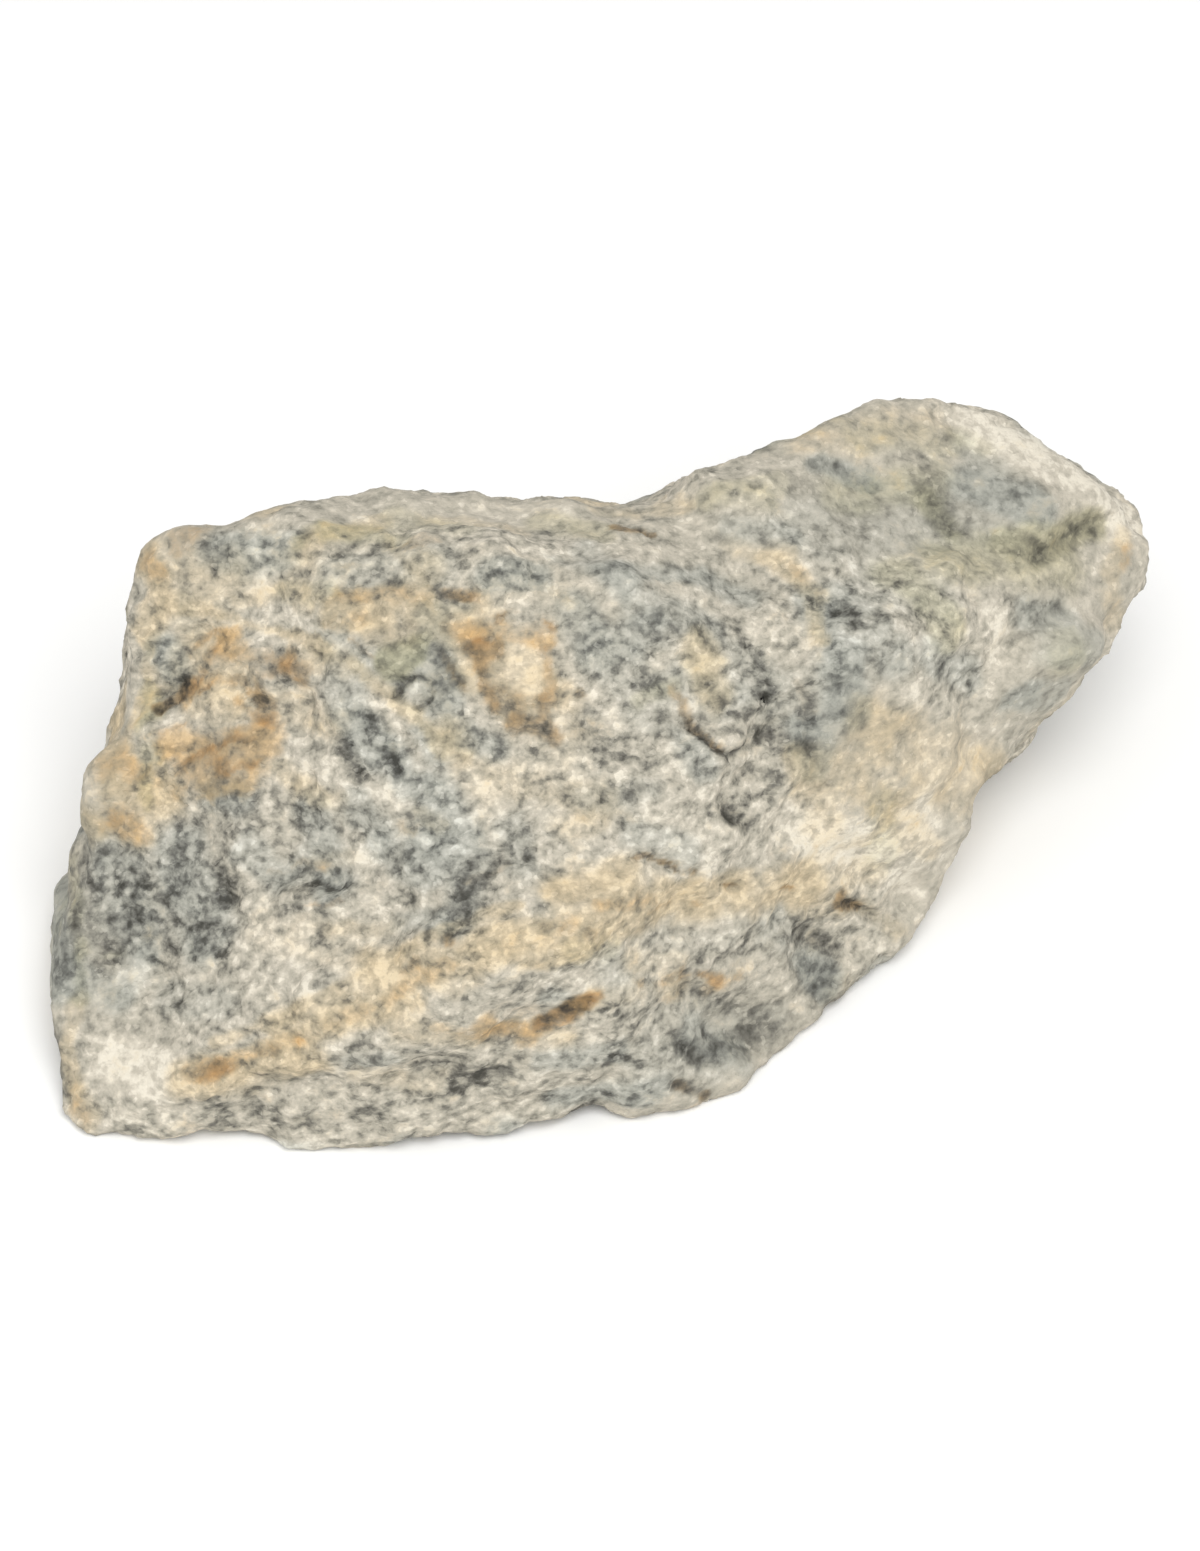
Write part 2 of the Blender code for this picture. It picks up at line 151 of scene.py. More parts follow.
# the minerals and stains, placed as they lie in the picture
# Each mark is: radius mm, strength, then its points in mm right of and above the picture's middle.
# "calm" marks where the grains are faint and the stone looks smoother.
marks = {
    "dark": [
        (1.7, 1, (-40.9, -8.6), (-40.7, -13.3)), (1.6, 0.8, (-45.7, -10.2), (-45.2, -12)),
        (1.9, 0.7, (-50.4, -12), (-50.8, -15)), (1.7, 0.75, (-47.7, -13.7)),
        (1.8, 0.5, (-44.2, -16), (-43, -17)), (1.3, 0.7, (-48.8, -17.6)),
        (0.5, 0.9, (-48.8, -17.6), (-47.1, -21.1)), (1, 0.8, (-43.8, -18.8), (-41.1, -19.1)),
        (1.2, 0.4, (-40.3, -16.4)), (3.4, 0.6, (-54, -8), (-53.6, -19)),
        (3, 0.4, (-48.6, -14), (-47, -20)), (2, 0.4, (-42, -1.6), (-40, -4)),
        (2.6, 0.45, (-44, -6), (-39.5, -3.5)), (1.4, 0.4, (-30.6, -4.4), (-30, -7.4)),
        (1.4, 0.5, (-34.4, -3.2), (-34.4, -5)), (1.5, 0.85, (-30.2, -11.2), (-28.2, -12)),
        (1.6, 0.65, (-35.5, -11.8), (-33.8, -12.8)), (1.2, 0.6, (-30.6, -15.6), (-30, -16.6)),
        (1.6, 0.35, (-9.2, -7), (-8.4, -9)), (2.3, 0.75, (-13.2, -10.5), (-14.6, -15.5)),
        (1, 0.6, (-21, -12.6)), (1.4, 0.85, (-18, -16.4), (-16.6, -17)),
        (1.2, 0.25, (-41.8, -24), (-40.9, -25)), (1.6, 0.25, (-47.5, -23.6), (-46, -24.4)),
        (1.5, 0.45, (-52.7, -28.2), (-51, -28.4)), (1.6, 0.8, (-15.5, -31.5), (-12.6, -33.4)),
        (1.6, 0.5, (-9.6, -31), (-8.8, -32)), (1.4, 0.35, (-26.4, -29.4), (-23.4, -30.6)),
        (1.1, 0.75, (-20.4, -34.8), (-15.2, -35.2)), (2, 0.6, (-15, -33.4), (-11, -34)),
        (1.3, 0.8, (-25.6, -36.8), (-23.4, -37.8)), (1.7, 0.8, (-41.6, -36), (-40.8, -37.6)),
        (1.4, 0.85, (-37.6, -35), (-35, -37.4)), (1.3, 0.8, (-32.4, -37.2), (-31.4, -38.2)),
        (1.1, 0.75, (-28.3, 24.4)), (1.1, 0.85, (-24.9, 24.1)), (0.9, 0.75, (-22.6, 20.7)),
        (0.8, 0.6, (-48.2, 15.6)), (1, 0.6, (-48, 13.6)), (0.6, 0.5, (-48.4, 7.3), (-45.7, 9.8)),
        (1.6, 0.6, (-34, 12), (-32.5, 11)), (1.2, 0.5, (-37, 9), (-36, 7.6)),
        (1.4, 0.8, (-17.5, 12.5), (-16.5, 10.5)), (0.9, 0.8, (-30.6, 5.2)),
        (1, 0.85, (-26.4, 6.2), (-23.4, 5.4)), (1.1, 1, (-27.6, 3), (-26.6, 1), (-25, 0.2)),
        (1.1, 1, (-22.7, 2.6), (-22, 0.8)), (1.6, 0.6, (-13.6, 4), (-12, 3)), (1.3, 0.45, (-8, 2.6)),
        (1.3, 0.45, (-9, 5.5), (-6, 5)), (0.8, 0.7, (-2, 9.3)), (1.6, 0.8, (4.6, 11), (5.8, 9.8)),
        (1.2, 0.5, (-1, 5.4), (2, 2.4)), (1.2, 0.5, (1.6, -1.4), (3.6, -2.4)),
        (1.2, 0.3, (5.4, 1), (4.8, -1.6)), (1.5, 1, (13.8, -3.4), (16.4, -4.8)),
        (1.4, 1, (10.6, 5.8), (12.8, 3.2)), (1.3, 0.9, (17.2, 12.6), (18, 10)), (1, 1, (18.2, 8.6)),
        (1.4, 0.9, (18.6, 6.6), (20, 3.2)), (1.2, 0.9, (22.4, 3.6)),
        (0.9, 0.9, (9.8, 5.6), (14.4, 2), (18.8, 5.6)), (1.4, 0.6, (9, 2), (11.4, -0.6)),
        (1.2, 0.8, (16, 0), (17.4, -2.2)), (1.3, 0.9, (26.5, 18.2), (27.5, 17.4)),
        (1.3, 0.65, (37.4, 12.2)), (1.5, 0.4, (36.8, 32), (37.5, 27.4)),
        (1.4, 0.45, (45, 24.4), (53.5, 27.8)), (4, 0.25, (12, 13), (24, 6)),
        (2.4, 0.5, (-57.4, -8), (-58.6, -20)), (1.8, 0.68, (22.4, -16.4), (25.6, -19)),
        (2, 0.7, (22, -22), (24.4, -22.6)), (1.6, 0.75, (18.4, -25), (15, -28.6)),
        (1.6, 0.95, (8, -29), (10.6, -30.6), (16, -29)), (1.3, 0.6, (1, -25.8), (4, -26.4)),
        (0.8, 0.8, (8.4, -34), (11.2, -34.6)), (1.2, 0.6, (20.4, -27), (18, -29.6)),
        (0.5, 0.7, (3.6, -8.9), (11, -10.5)), (0.6, 0.7, (-11.4, -22.8), (-9, -23.1)),
        (1.4, 0.25, (0, -31), (5, -32)), (1.2, 0.3, (12, -19), (17, -20)),
        (0.35, 0.9, (-22.2, 8.6), (-21.6, 10.2), (-20.3, 10.7), (-19, 9.9), (-18.7, 8.5), (-19.6, 7.3)),
        (2.4, 0.25, (0, 14.7), (5.4, 15.8)), (1.8, 0.8, (-1.6, 5.5), (0, 2.8)),
        (1.6, 0.4, (-17.4, 3.3), (-14.1, 0.6)), (1.4, 0.6, (18, 3.3), (19.6, -1.6)),
        (2.2, 0.5, (-49, -12.5), (-47.3, -19)), (1.6, 0.5, (9.8, -23.3), (14.1, -25)),
        (1.2, 0.4, (35.9, 30.5), (37, 26.7)), (1, 0.4, (26.1, 33.2), (29.4, 31.6)),
        (2, 0.35, (-11.4, 22.1), (-7.6, 21.8)), (1.4, 0.28, (47.3, 23.4), (51.1, 25.6), (54.4, 27.8)),
        (1.5, 0.15, (35.7, 31.1), (37.5, 26.7)), (1.2, 0.35, (46.8, 18), (50, 17.5)),
        (1, 0.5, (-19.6, 23.2)), (1, 0.4, (-2.7, -2.7), (-1.1, -4.3)), (1.2, 0.4, (2.2, 3.9), (3.5, 1.7)),
        (0.9, 0.5, (29.4, 13.1), (30.7, 11.7)), (1.4, 0.5, (9.8, -24.4), (11.4, -25)),
        (1, 0.4, (26.7, 19.1), (23.4, 18)), (0.9, 1, (18.2, 8.6)),
        (1.2, 0.17, (-12.8, -10.5), (-14.4, -15.5)), (1.3, 0.45, (-27.7, 4.4), (-22.3, 1.1)),
        (1.2, 0.5, (-20.1, -3.2), (-19, -5.9)), (1, 0.4, (-10.9, 9.3), (-8.7, 7.1)),
        (1.6, 0.22, (-55.7, -10.3), (-56.6, -19)), (0.5, 0.8, (14.4, 2), (16.5, 3.6), (19, 5.8)),
        (1.1, 0.6, (-42.4, -10.3), (-40, -14.1)), (0.7, 0.9, (18.2, 8.6)),
        (0.5, 0.7, (10.9, 4.4), (14.4, 2)), (1.6, 0.22, (19.6, -15.2), (21.8, -19.5)),
        (0.45, 0.7, (7.8, -28.8), (9.8, -31.2), (12.2, -31.6)),
        (0.45, 0.7, (10.9, -27), (12.6, -29.6), (15.4, -30.1)), (1, 0.25, (-15.4, -11.4), (-12.4, -14.1)),
        (1.4, 0.3, (13.6, 4.4), (15.8, 4.4)), (1.3, 0.4, (26.1, -13.5), (27.2, -17.9)),
        (0.9, 0.45, (0, 5), (1.1, 3.3)), (0.9, 0.5, (4.4, -6.5), (5.2, -8.1)),
        (0.8, 0.45, (-4.4, -1.6), (-3, -3.3)), (0.8, 0.45, (-8.7, -2.7), (-7.1, -5.9)),
        (0.9, 0.4, (-23.4, 3.3), (-22.3, 0.6)), (0.8, 0.4, (-29.4, 5.8), (-27.7, 3.3)),
        (0.8, 0.4, (-19, -2.7), (-18.3, -5.4)),
    ],
    "slate": [
        (2.6, 0.8, (-41, 24.5), (-34.5, 24.3)), (1.7, 0.8, (-11.5, 22), (-6.5, 21.6)),
        (1, 0.6, (-19, 18.6), (-14.4, 18.2)), (2.4, 0.6, (-3, 18), (-1, 13.6)),
        (2, 0.9, (-47.4, 13.6), (-46, 11.6)), (1.3, 0.4, (-45, 19), (-44.5, 16)),
        (2.6, 0.55, (-26, 4.6), (-23, 1.6)), (1.4, 0.6, (-21.4, -1), (-18.4, -1.4)),
        (2, 0.6, (-14, 4), (-12, 3)), (3.4, 0.6, (-52, -10), (-50, -18)),
        (3.6, 0.65, (-46, -8), (-43, -17)), (2, 0.6, (-26.6, -3), (-23.4, -6.6)),
        (2, 0.6, (-24, -8), (-19.4, -11)), (2.6, 0.6, (-31, -4), (-29, -12)),
        (2.2, 0.5, (-9.6, -5.6), (-8.4, -9.4)), (2.6, 0.5, (-14, -9), (-15, -16)),
        (1.6, 0.5, (-22, -15.6), (-17, -16.4)), (2.4, 0.4, (-47, -24), (-41, -25)),
        (1.4, 0.6, (-6, -24), (-2, -24.6)), (2, 0.7, (-4, -35), (6, -34.6)),
        (1.6, 0.6, (-6.4, -31), (2, -29.8)), (1.4, 0.5, (-27, -31), (-22, -31)),
        (2.4, 0.5, (4, 19), (12, 16)), (2.2, 0.7, (11, 21.5), (16, 19.5)), (1.8, 0.6, (2, 22.4), (8, 22)),
        (3, 0.4, (2, 12), (6, 6)), (2.4, 0.4, (8, 10), (14, 8)), (1.8, 0.8, (24, 33.6), (29, 32.4)),
        (2.2, 0.6, (40, 31.5), (48, 29)), (2.7, 0.9, (26, 13), (27.6, 7.6)),
        (1.7, 0.7, (22.6, 5), (24, 1)), (2.4, 0.6, (36, 13), (40, 10.6)),
        (2.2, 0.6, (46, 17.6), (50, 17)), (1.8, 0.5, (45, 8.4), (51, 4.6)),
        (3.5, 0.5, (-28, 22), (-18, 23)), (4, 0.4, (12, 13), (24, 6)),
        (2.6, 0.25, (6, -17.6), (20, -16.6)), (2.2, 0.8, (22.6, -21.4), (24.6, -22.6)),
        (2.8, 0.3, (6, -26.6), (18, -27)), (2.4, 0.4, (4, -31), (12, -31.6)),
        (1.8, 0.5, (14, 27), (20, 26)), (3, 0.8, (-57, -4), (-58.4, -12), (-58.8, -22)),
        (6, 0.4, (24, 27), (42, 29)), (3, 0.5, (-24, 12), (-20, 12)), (3, 0.45, (-18, -1), (-16, -7)),
        (2.2, 0.5, (-57.6, -3), (-56.6, 1)), (3, 0.5, (-20, 9), (-17, 5)), (3, 0.4, (-19, -6), (-18, -9)),
        (3, 0.6, (25, 19), (32, 13)), (2.2, 0.8, (-18.5, 16.9), (-16.9, 8.2)),
        (2.4, 0.6, (0, 14.7), (5.4, 15.8)), (2.2, 0.6, (-42.4, -1.6), (-39.2, -3.2)),
        (2.4, 0.42, (-57.7, -21.2), (-52.2, -24.4)), (2, 0.5, (4.4, -6.5), (9.8, -8.1)),
        (2.2, 0.6, (-38.1, -8.1), (-34.8, -11.4)), (4, 0.4, (30.5, 20.2), (35.9, 19.1)),
        (2.4, 0.5, (41.3, 31.1), (46.8, 30)), (2.2, 0.5, (-12, 22.4), (-6.5, 21.5)),
        (2, 0.4, (-1.1, -2.7), (4.4, -1.6)), (2.6, 0.5, (-28.8, 15.8), (-27.7, 8.8)),
        (2.2, 0.6, (9.6, 3.3), (10.9, 0.6)), (2, 0.6, (-19, -6.5), (-17.4, -8.1)),
        (2.4, 0.6, (22.8, 19.1), (25, 15.8)), (2.2, 0.5, (-1.1, 24.5), (2.2, 21.3)),
        (2.4, 0.5, (49, 13.7), (53.3, 13.7)), (1.8, 0.4, (39.2, 36.5), (40.8, 34.1)),
        (2, 0.4, (1.1, -20.6), (2.2, -22.8)), (2.4, 0.5, (-17.4, -2.7), (-15.2, -5.9)),
        (1.8, 0.5, (-27.7, 6.6), (-21.8, 1.1)), (2, 0.45, (-32.6, -9.2), (-29.4, -12.5)),
        (2.6, 0.33, (-55.3, -8.1), (-56.1, -13.5), (-56.6, -21.2)), (1.6, 0.6, (25.6, 7.7), (27.9, 13.7)),
        (2, 0.5, (23.1, 5.5), (22.4, 1.1)), (2.2, 0.28, (18.5, -16.3), (25, -21.7)),
        (2, 0.5, (44.6, 8.2), (50, 9.3)), (1.8, 0.5, (9.8, -27.7), (15.2, -31)),
        (1.8, 0.4, (-52.2, -24.4), (-49, -20.1)), (1.8, 0.35, (43.5, 33.2), (49, 30)),
        (1.2, 0.45, (-19.6, 4.4), (-16.9, 1.7)), (1.4, 0.4, (-4.4, 23.4), (2.2, 22.4)),
    ],
    "tan": [
        (1.9, 0.7, (-49, 23), (-48, 20.6), (-49.4, 16)), (1.3, 0.7, (-52, 12), (-52.3, 7)),
        (2.8, 0.9, (-53.4, 6), (-52, 0), (-47, -2)), (3.4, 0.4, (-44, 18), (-40, 10)),
        (0.8, 0.4, (-24.4, 26.4), (-21.7, 23.3), (-19.3, 21)), (2, 0.8, (-29, 17.4), (-24.4, 17.4)),
        (2.4, 0.5, (-24, 15.6), (-16, 15)), (2.6, 0.6, (-18, 17), (-12, 14)),
        (3, 0.5, (-12, 16), (-6, 9)), (0.8, 0.65, (-26.3, 10.8), (-21.7, 6.9), (-14.7, 2.3)),
        (1.8, 0.5, (-33, 14), (-28, 12)), (2.6, 0.45, (-13, 0), (0, -2.6)),
        (2.6, 0.6, (-52, -3), (-50, -6)), (3.2, 0.35, (-8, 6), (-4, 4)),
        (2.6, 0.8, (-45, -33.6), (-32, -30.4)), (2.6, 0.75, (-34, -28), (-24, -23.8)),
        (2.4, 0.6, (-46, 10), (-41, 7)), (2.2, 0.6, (-14, 11), (-9.6, 8)), (2.2, 0.6, (10, 14), (12, 9)),
        (2.4, 0.6, (22, 2), (24, -5)), (2.4, 0.5, (-19, 22.5), (-22, 17)), (3, 0.4, (-49, 24), (-41, 23)),
        (2, 0.65, (-28, -26), (-21, -24)), (2.2, 0.75, (-25, -20.6), (-14, -20)),
        (2.8, 0.85, (-12, -18.6), (0, -16.4), (6, -14.6)), (3.2, 0.35, (-36, -17), (-24, -20)),
        (2.8, 0.9, (-4, -12), (10, -13.4), (22, -12)), (2, 0.45, (-26, -33), (-18, -33)),
        (1.8, 0.6, (-57, -35), (-55.4, -37)), (1.5, 0.7, (-57.8, -30), (-57.5, -34)),
        (1.2, 0.5, (-57, -24), (-57.6, -28)), (1.4, 0.5, (20, 23), (24, 20)),
        (1.6, 0.4, (14, 25), (20, 24)), (4.6, 0.6, (29, 5), (40, 0)), (2.2, 0.5, (30, -2), (36, -8)),
        (2, 0.5, (22, -11.6), (30, -10.4)), (3, 0.4, (22, 36.6), (36, 38.2)),
        (1.6, 0.4, (3, -20), (9, -20.6)), (1.4, 0.6, (55.5, 22), (57.4, 26)),
        (1.6, 0.35, (8, -23), (14, -22.6)), (1.4, 0.5, (-32.6, -2), (-28, -2.6)),
        (1.2, 0.4, (-31, -9), (-27, -8.8)),
        (0.9, 0.7, (-47.3, 19.2), (-32.4, 15.2), (-22.8, 9.1), (-16.8, 2.2)),
        (1.2, 0.6, (-50.5, 23.4), (-47.3, 19.1), (-49, 9.3), (-52.2, 1.7)),
        (1.5, 0.6, (-32.6, 19.1), (-24.4, 19.1), (-18.5, 19.1)),
        (1, 0.7, (-41.9, -29), (-31, -24.3), (-18.8, -18.1), (-9.2, -14.1)),
        (1.1, 0.7, (-44, -32.5), (-31, -27.7), (-20.1, -22.2), (-6.5, -20.8), (0, -17.9)),
        (1.2, 0.5, (0, -13.5), (10.9, -11.9), (21.8, -10.3), (30.5, -5.9), (34.8, -0.5)),
        (1.2, 0.7, (18, 23.4), (20.7, 21.8), (23.4, 19.1), (23.9, 14.7)),
        (0.9, 0.2, (4.4, 27.8), (10.9, 30), (17.4, 31.1)),
        (2.6, 0.45, (-43.5, 14.7), (-37, 8.2), (-29.4, 6)), (2, 0.6, (-21.8, -27.7), (-4.4, -28.2)),
        (1.6, 0.5, (0, -24.4), (8.7, -22.8)), (2, 0.7, (-56.6, -2.7), (-54.9, -5.9)),
        (1.8, 0.6, (-6.5, 10.4), (-2.7, 8.2)), (1.4, 0.5, (-17.4, 5), (-15.2, 1.7)),
        (1.2, 0.5, (-19.6, -4.3), (-17.4, -5.4)), (2.4, 0.6, (22.8, 1.7), (27.2, -0.5)),
        (1.8, 0.6, (10.9, 14.7), (13.1, 9.3)), (1.6, 0.5, (27.2, -14.1), (32.6, -16.3)),
        (2, 0.5, (-38.1, -33.7), (-30.5, -31.5)), (1.8, 0.5, (-32.6, 24.8), (-23.9, 27.6)),
        (1.6, 0.4, (-18.5, 27.8), (-8.7, 26.7)), (1.2, 0.5, (-39.2, 19.1), (-32.6, 20.2)),
        (1.6, 0.5, (0, 28.9), (8.7, 29.4)), (2.2, 0.6, (-15.8, 4.4)),
        (2.2, 0.7, (2.4, -10.1), (1.3, -13.5)), (1.8, 0.5, (11.8, 14.7), (12.2, 12.6)),
        (2, 0.5, (-44.6, 12.6)), (2.4, 0.5, (-46.2, 0.6)), (2, 0.5, (-17.4, -22.2), (-15, -22.8)),
        (2.4, 0.5, (28.3, 6.6), (31, 5.5)), (1.6, 0.5, (21.2, -14.1), (26.1, -14.1)),
        (2, 0.5, (55.7, 19.1), (55.3, 16.9)), (1.4, 0.4, (-4.4, -5.9), (0, -4.8)),
        (1.2, 0.4, (-29.4, -16.8), (-21.8, -15.7)), (3, 0.3, (-45.7, 20.2), (-32.6, 23.4)),
        (1.4, 0.5, (-34.8, 0.6), (-30.5, -2.7)), (1.6, 0.4, (-17.4, 16.9), (-13.1, 19.1)),
        (4, 0.25, (-30.5, 23.4), (-4.4, 20.2)), (3.4, 0.25, (-21.8, 8.2), (0, 14.7)),
        (1.2, 0.4, (-39.2, -31), (-29.4, -27.7)),
    ],
    "rust": [
        (1.4, 0.5, (-49, 23), (-48, 21.5)), (1.2, 0.55, (-41, 15), (-40.4, 13)), (0.9, 0.5, (-43.6, 9.6)),
        (2.6, 0.85, (-46, 3.6), (-42, 1.6), (-38, 2.4), (-36.4, 4.6)), (1, 0.5, (-40, -1.4), (-38, -1.6)),
        (1.4, 0.4, (-53, 2), (-48, 0)), (1.2, 0.4, (-18, -27.6), (-13, -28)),
        (1.4, 0.45, (-29, 16.6), (-26.5, 17.2)), (1.1, 0.5, (-16.5, 15.5), (-13, 16)),
        (1.2, 0.35, (-17.4, 20.4), (-13.6, 19.6)), (1.2, 0.36, (-6.3, 17), (-6, 14.6)),
        (1.6, 0.6, (-52.2, -4.4), (-50, -6.4)), (1.2, 0.4, (-54, 3), (-53.4, 0)),
        (1.5, 0.7, (-12, -27), (-8.2, -28.6)), (1.1, 0.5, (-7.6, -27.4), (0, -23.8)),
        (1.2, 0.5, (-57, -36), (-56, -37)), (1.1, 0.25, (56.8, 22.6), (57.6, 24.4)),
        (1, 0.45, (20.6, 22.6), (24, 20.2)), (1.2, 0.4, (-42, -32.4), (-38, -30.6)),
        (0.9, 0.24, (9, -21.4), (13, -22)), (0.7, 0.5, (-33, -9.4), (-30, -9.2)),
        (0.8, 0.4, (-21, -5), (-20, -6)), (1, 0.35, (-38, 7), (-37, 5.6)),
        (1.2, 0.35, (-6, -16.4), (-3, -16)), (1.2, 0.5, (-45.7, 9.3), (-41.9, 10.4)),
        (1.4, 0.49, (-41.9, 3.9), (-38.1, 4.4)), (1.2, 0.5, (-45.7, -1.6), (-39.2, -1)),
        (1, 0.4, (-52.2, 3.9), (-51.1, -0.5)), (1.3, 0.4, (-12, -28.3), (-7.1, -27.5)),
        (1, 0.3, (-32.6, -29.9), (-28.8, -26.8)), (1.2, 0.2, (5.4, -22.2), (9.8, -21.2)),
        (1, 0.4, (-28.3, 20.2), (-21.8, 19.1)), (1, 0.45, (0, -14.4), (5.4, -13.1)),
        (1.5, 0.33, (-45.5, 0.1), (-43.5, 3.3), (-39.7, 4.4), (-36.4, 3), (-36.8, 0.1)),
        (1.1, 0.55, (-45.7, 8.4), (-42.8, 12.3), (-39.4, 15.4)), (1.4, 0.5, (-38.6, 13.1), (-33.7, 11.3)),
        (1.2, 0.14, (-53.1, 3.3), (-53.9, -1.6), (-53.1, -5.4)),
        (1.3, 0.5, (-14.1, 14.7), (-10.9, 16.4), (-6, 14.7)),
        (1.2, 0.25, (-10.9, 8.2), (-6.5, 6.9), (-3.8, 9.3)),
        (1.2, 0.2, (-43.5, -32), (-37, -29.9), (-32.6, -28.2)),
        (1, 0.4, (-29.4, 19.1), (-23.9, 20.2), (-18.5, 19.1)), (1.2, 0.25, (-10.9, -25.7), (-1.1, -24.4)),
        (1.2, 0.35, (-6.5, -26.8), (-1.1, -24.2)), (1, 0.18, (4.4, -24.4), (10.9, -23.1), (14.1, -22.2)),
        (0.9, 0.4, (0, -13.5), (4.4, -14.1)), (1, 0.45, (-32.6, -28.8), (-21.8, -23.3), (-16.3, -20.6)),
        (1.1, 0.4, (-12, -28.3), (-8.5, -27.3)),
    ],
    "brown": [
        (0.8, 1, (-48.4, 7.3), (-44.7, 10.6)), (1.5, 0.5, (-34, 12), (-32.5, 11)),
        (1.2, 0.6, (-37, 9), (-36, 7.6)), (1.2, 0.6, (-41, 1)), (1.3, 0.75, (-13.5, 14), (-11, 14.2)),
        (1, 0.6, (-16.6, 20), (-14, 19.6)), (1.3, 0.6, (-9, 5.5), (-6, 5)), (0.8, 0.7, (-2, 9.3)),
        (1.6, 0.45, (-12, 9), (-9, 8)), (1, 0.6, (-6, -26.6), (-1.6, -24)), (0.8, 0.35, (-14.3, -25.3)),
        (1, 0.7, (-16.4, -18)), (0.7, 0.85, (1.4, 27.2), (6, 26.2)),
        (0.9, 0.9, (26.4, -13.4), (28.6, -14.8)), (1, 0.7, (9.4, -21.4), (13, -22)),
        (0.8, 0.7, (8.4, -34), (11.2, -34.6)), (0.4, 0.7, (3.6, -8.9), (11, -10.5)),
        (0.4, 0.7, (13.8, -12), (21, -12.4)), (1.8, 0.4, (-45.5, 25), (-43, 26)),
        (1.2, 0.35, (-21, 25), (-18, 26)), (1.2, 0.3, (56.6, 22.4), (57.4, 24)),
        (1.4, 0.5, (-44, -32.6), (-42, -31.8)), (1, 0.4, (22, 10), (22.6, 7)),
        (0.6, 0.7, (-11.4, 16.9), (-8.7, 18), (-5.4, 16.4)),
        (0.7, 0.7, (-13.1, 14.7), (-13.3, 10.4), (-10.9, 7.1)), (0.8, 0.6, (-6.5, 8.2), (-4.8, 3.9)),
        (0.6, 0.6, (-45.7, 0.6), (-42.4, 3.3), (-38.1, 3.9)),
        (0.6, 0.5, (-43.5, 9.3), (-39.2, 10.4), (-36.8, 8.2)), (0.6, 0.5, (-44.6, 13.1), (-41.9, 15.3)),
        (0.6, 0.5, (-32.6, -28.8), (-28.3, -26.1)), (0.6, 0.4, (-14.1, -11.4), (-9.8, -9.7)),
        (0.6, 0.6, (-18.5, 20.7), (-14.1, 19.3)), (0.7, 0.6, (7.8, 9.3), (9.8, 6), (13.1, 3.3)),
        (0.6, 0.4, (-27.2, 14.7), (-24.8, 13.1)), (0.6, 0.5, (-40.3, 0.1), (-36.8, 1.1)),
        (0.7, 0.4, (-51.1, -2.7), (-49, 0.6)), (0.6, 0.4, (-4.4, -16.3), (2.2, -13.5)),
        (0.6, 0.5, (-35.9, -10.3), (-30.5, -9.8)), (0.7, 0.5, (-39.7, 8.2), (-35.4, 5.8)),
        (0.6, 0.5, (-17.4, 13.1), (-15, 9.3)), (0.6, 0.45, (4.4, -14.6), (10.9, -14.1)),
        (1.3, 0.36, (-42.1, 1.9)), (1.5, 0.45, (-37.5, 11.3), (-34.3, 12.6)),
        (0.8, 0.5, (-44.8, 9.3), (-42, 13.1)), (1.2, 0.4, (-14.1, 13.7), (-12, 11.7)),
        (1, 0.45, (-6, 13.1), (-5.1, 8.2)), (1, 0.4, (-43, -32.9), (-35.9, -30.1)),
        (1, 0.22, (-53.3, 0.6), (-52.7, -4.3)), (0.8, 0.45, (-28.3, -24.4), (-19.6, -20.6)),
        (0.8, 0.25, (-40.5, 4.4), (-36.8, 5.8)), (0.7, 0.45, (4.4, -22.8), (10.9, -21.7)),
        (1.3, 0.55, (-5.8, -26.6), (-1.8, -24.4)),
        (0.6, 0.36, (4.4, -24.9), (10.9, -23.6), (15.2, -22.2)), (0.7, 0.4, (-1.1, -17.4), (5.4, -16.3)),
        (0.7, 0.6, (-7.1, -27), (-4.4, -25.5), (0.4, -23.8)), (0.5, 0.5, (-32.6, -14.1), (-28.3, -13.5)),
        (0.5, 0.45, (-49, 4.4), (-45.2, 5.8)),
    ],
    "olive": [
        (1.6, 0.9, (-23, 12), (-20.6, 13.2)), (0.9, 0.6, (-49.6, 6), (-49, -3)),
        (2.4, 0.45, (-22, 28), (-15, 27)), (2.2, 0.35, (-28, 27), (-24, 26)),
        (1.6, 0.4, (-34, 20), (-30, 20)), (3, 0.5, (26, 30), (36, 32)), (4, 0.6, (38, 24), (50, 23)),
        (3, 0.6, (32, 22), (38, 16)), (3, 0.45, (50, 14), (54, 12)), (2, 0.6, (44, 25), (54, 28)),
        (2.4, 0.4, (28, 37), (38, 36)), (1.2, 0.5, (-56, -18), (-56.6, -24)), (1, 0.5, (-52.6, -18.8)),
        (1.4, 0.45, (-56.6, -10), (-57.4, -16)), (1.6, 0.4, (-3, -19), (1, -19)),
        (2, 0.35, (12, 30), (18, 30)), (2.2, 0.5, (-6.5, 27.6), (0, 26.5)),
        (1.6, 0.6, (35.4, 30.5), (38.1, 26.7)), (2, 0.6, (47.9, 24), (53.9, 27.6)),
        (1.2, 0.6, (-49, 9.3), (-47.9, 1.7)), (1.8, 0.45, (-29.4, 26.7), (-21.8, 25.6)),
        (1.4, 0.5, (4.4, 8.2), (7.6, 9.3)), (2.4, 0.4, (30.7, -3.2), (31, -9.2)),
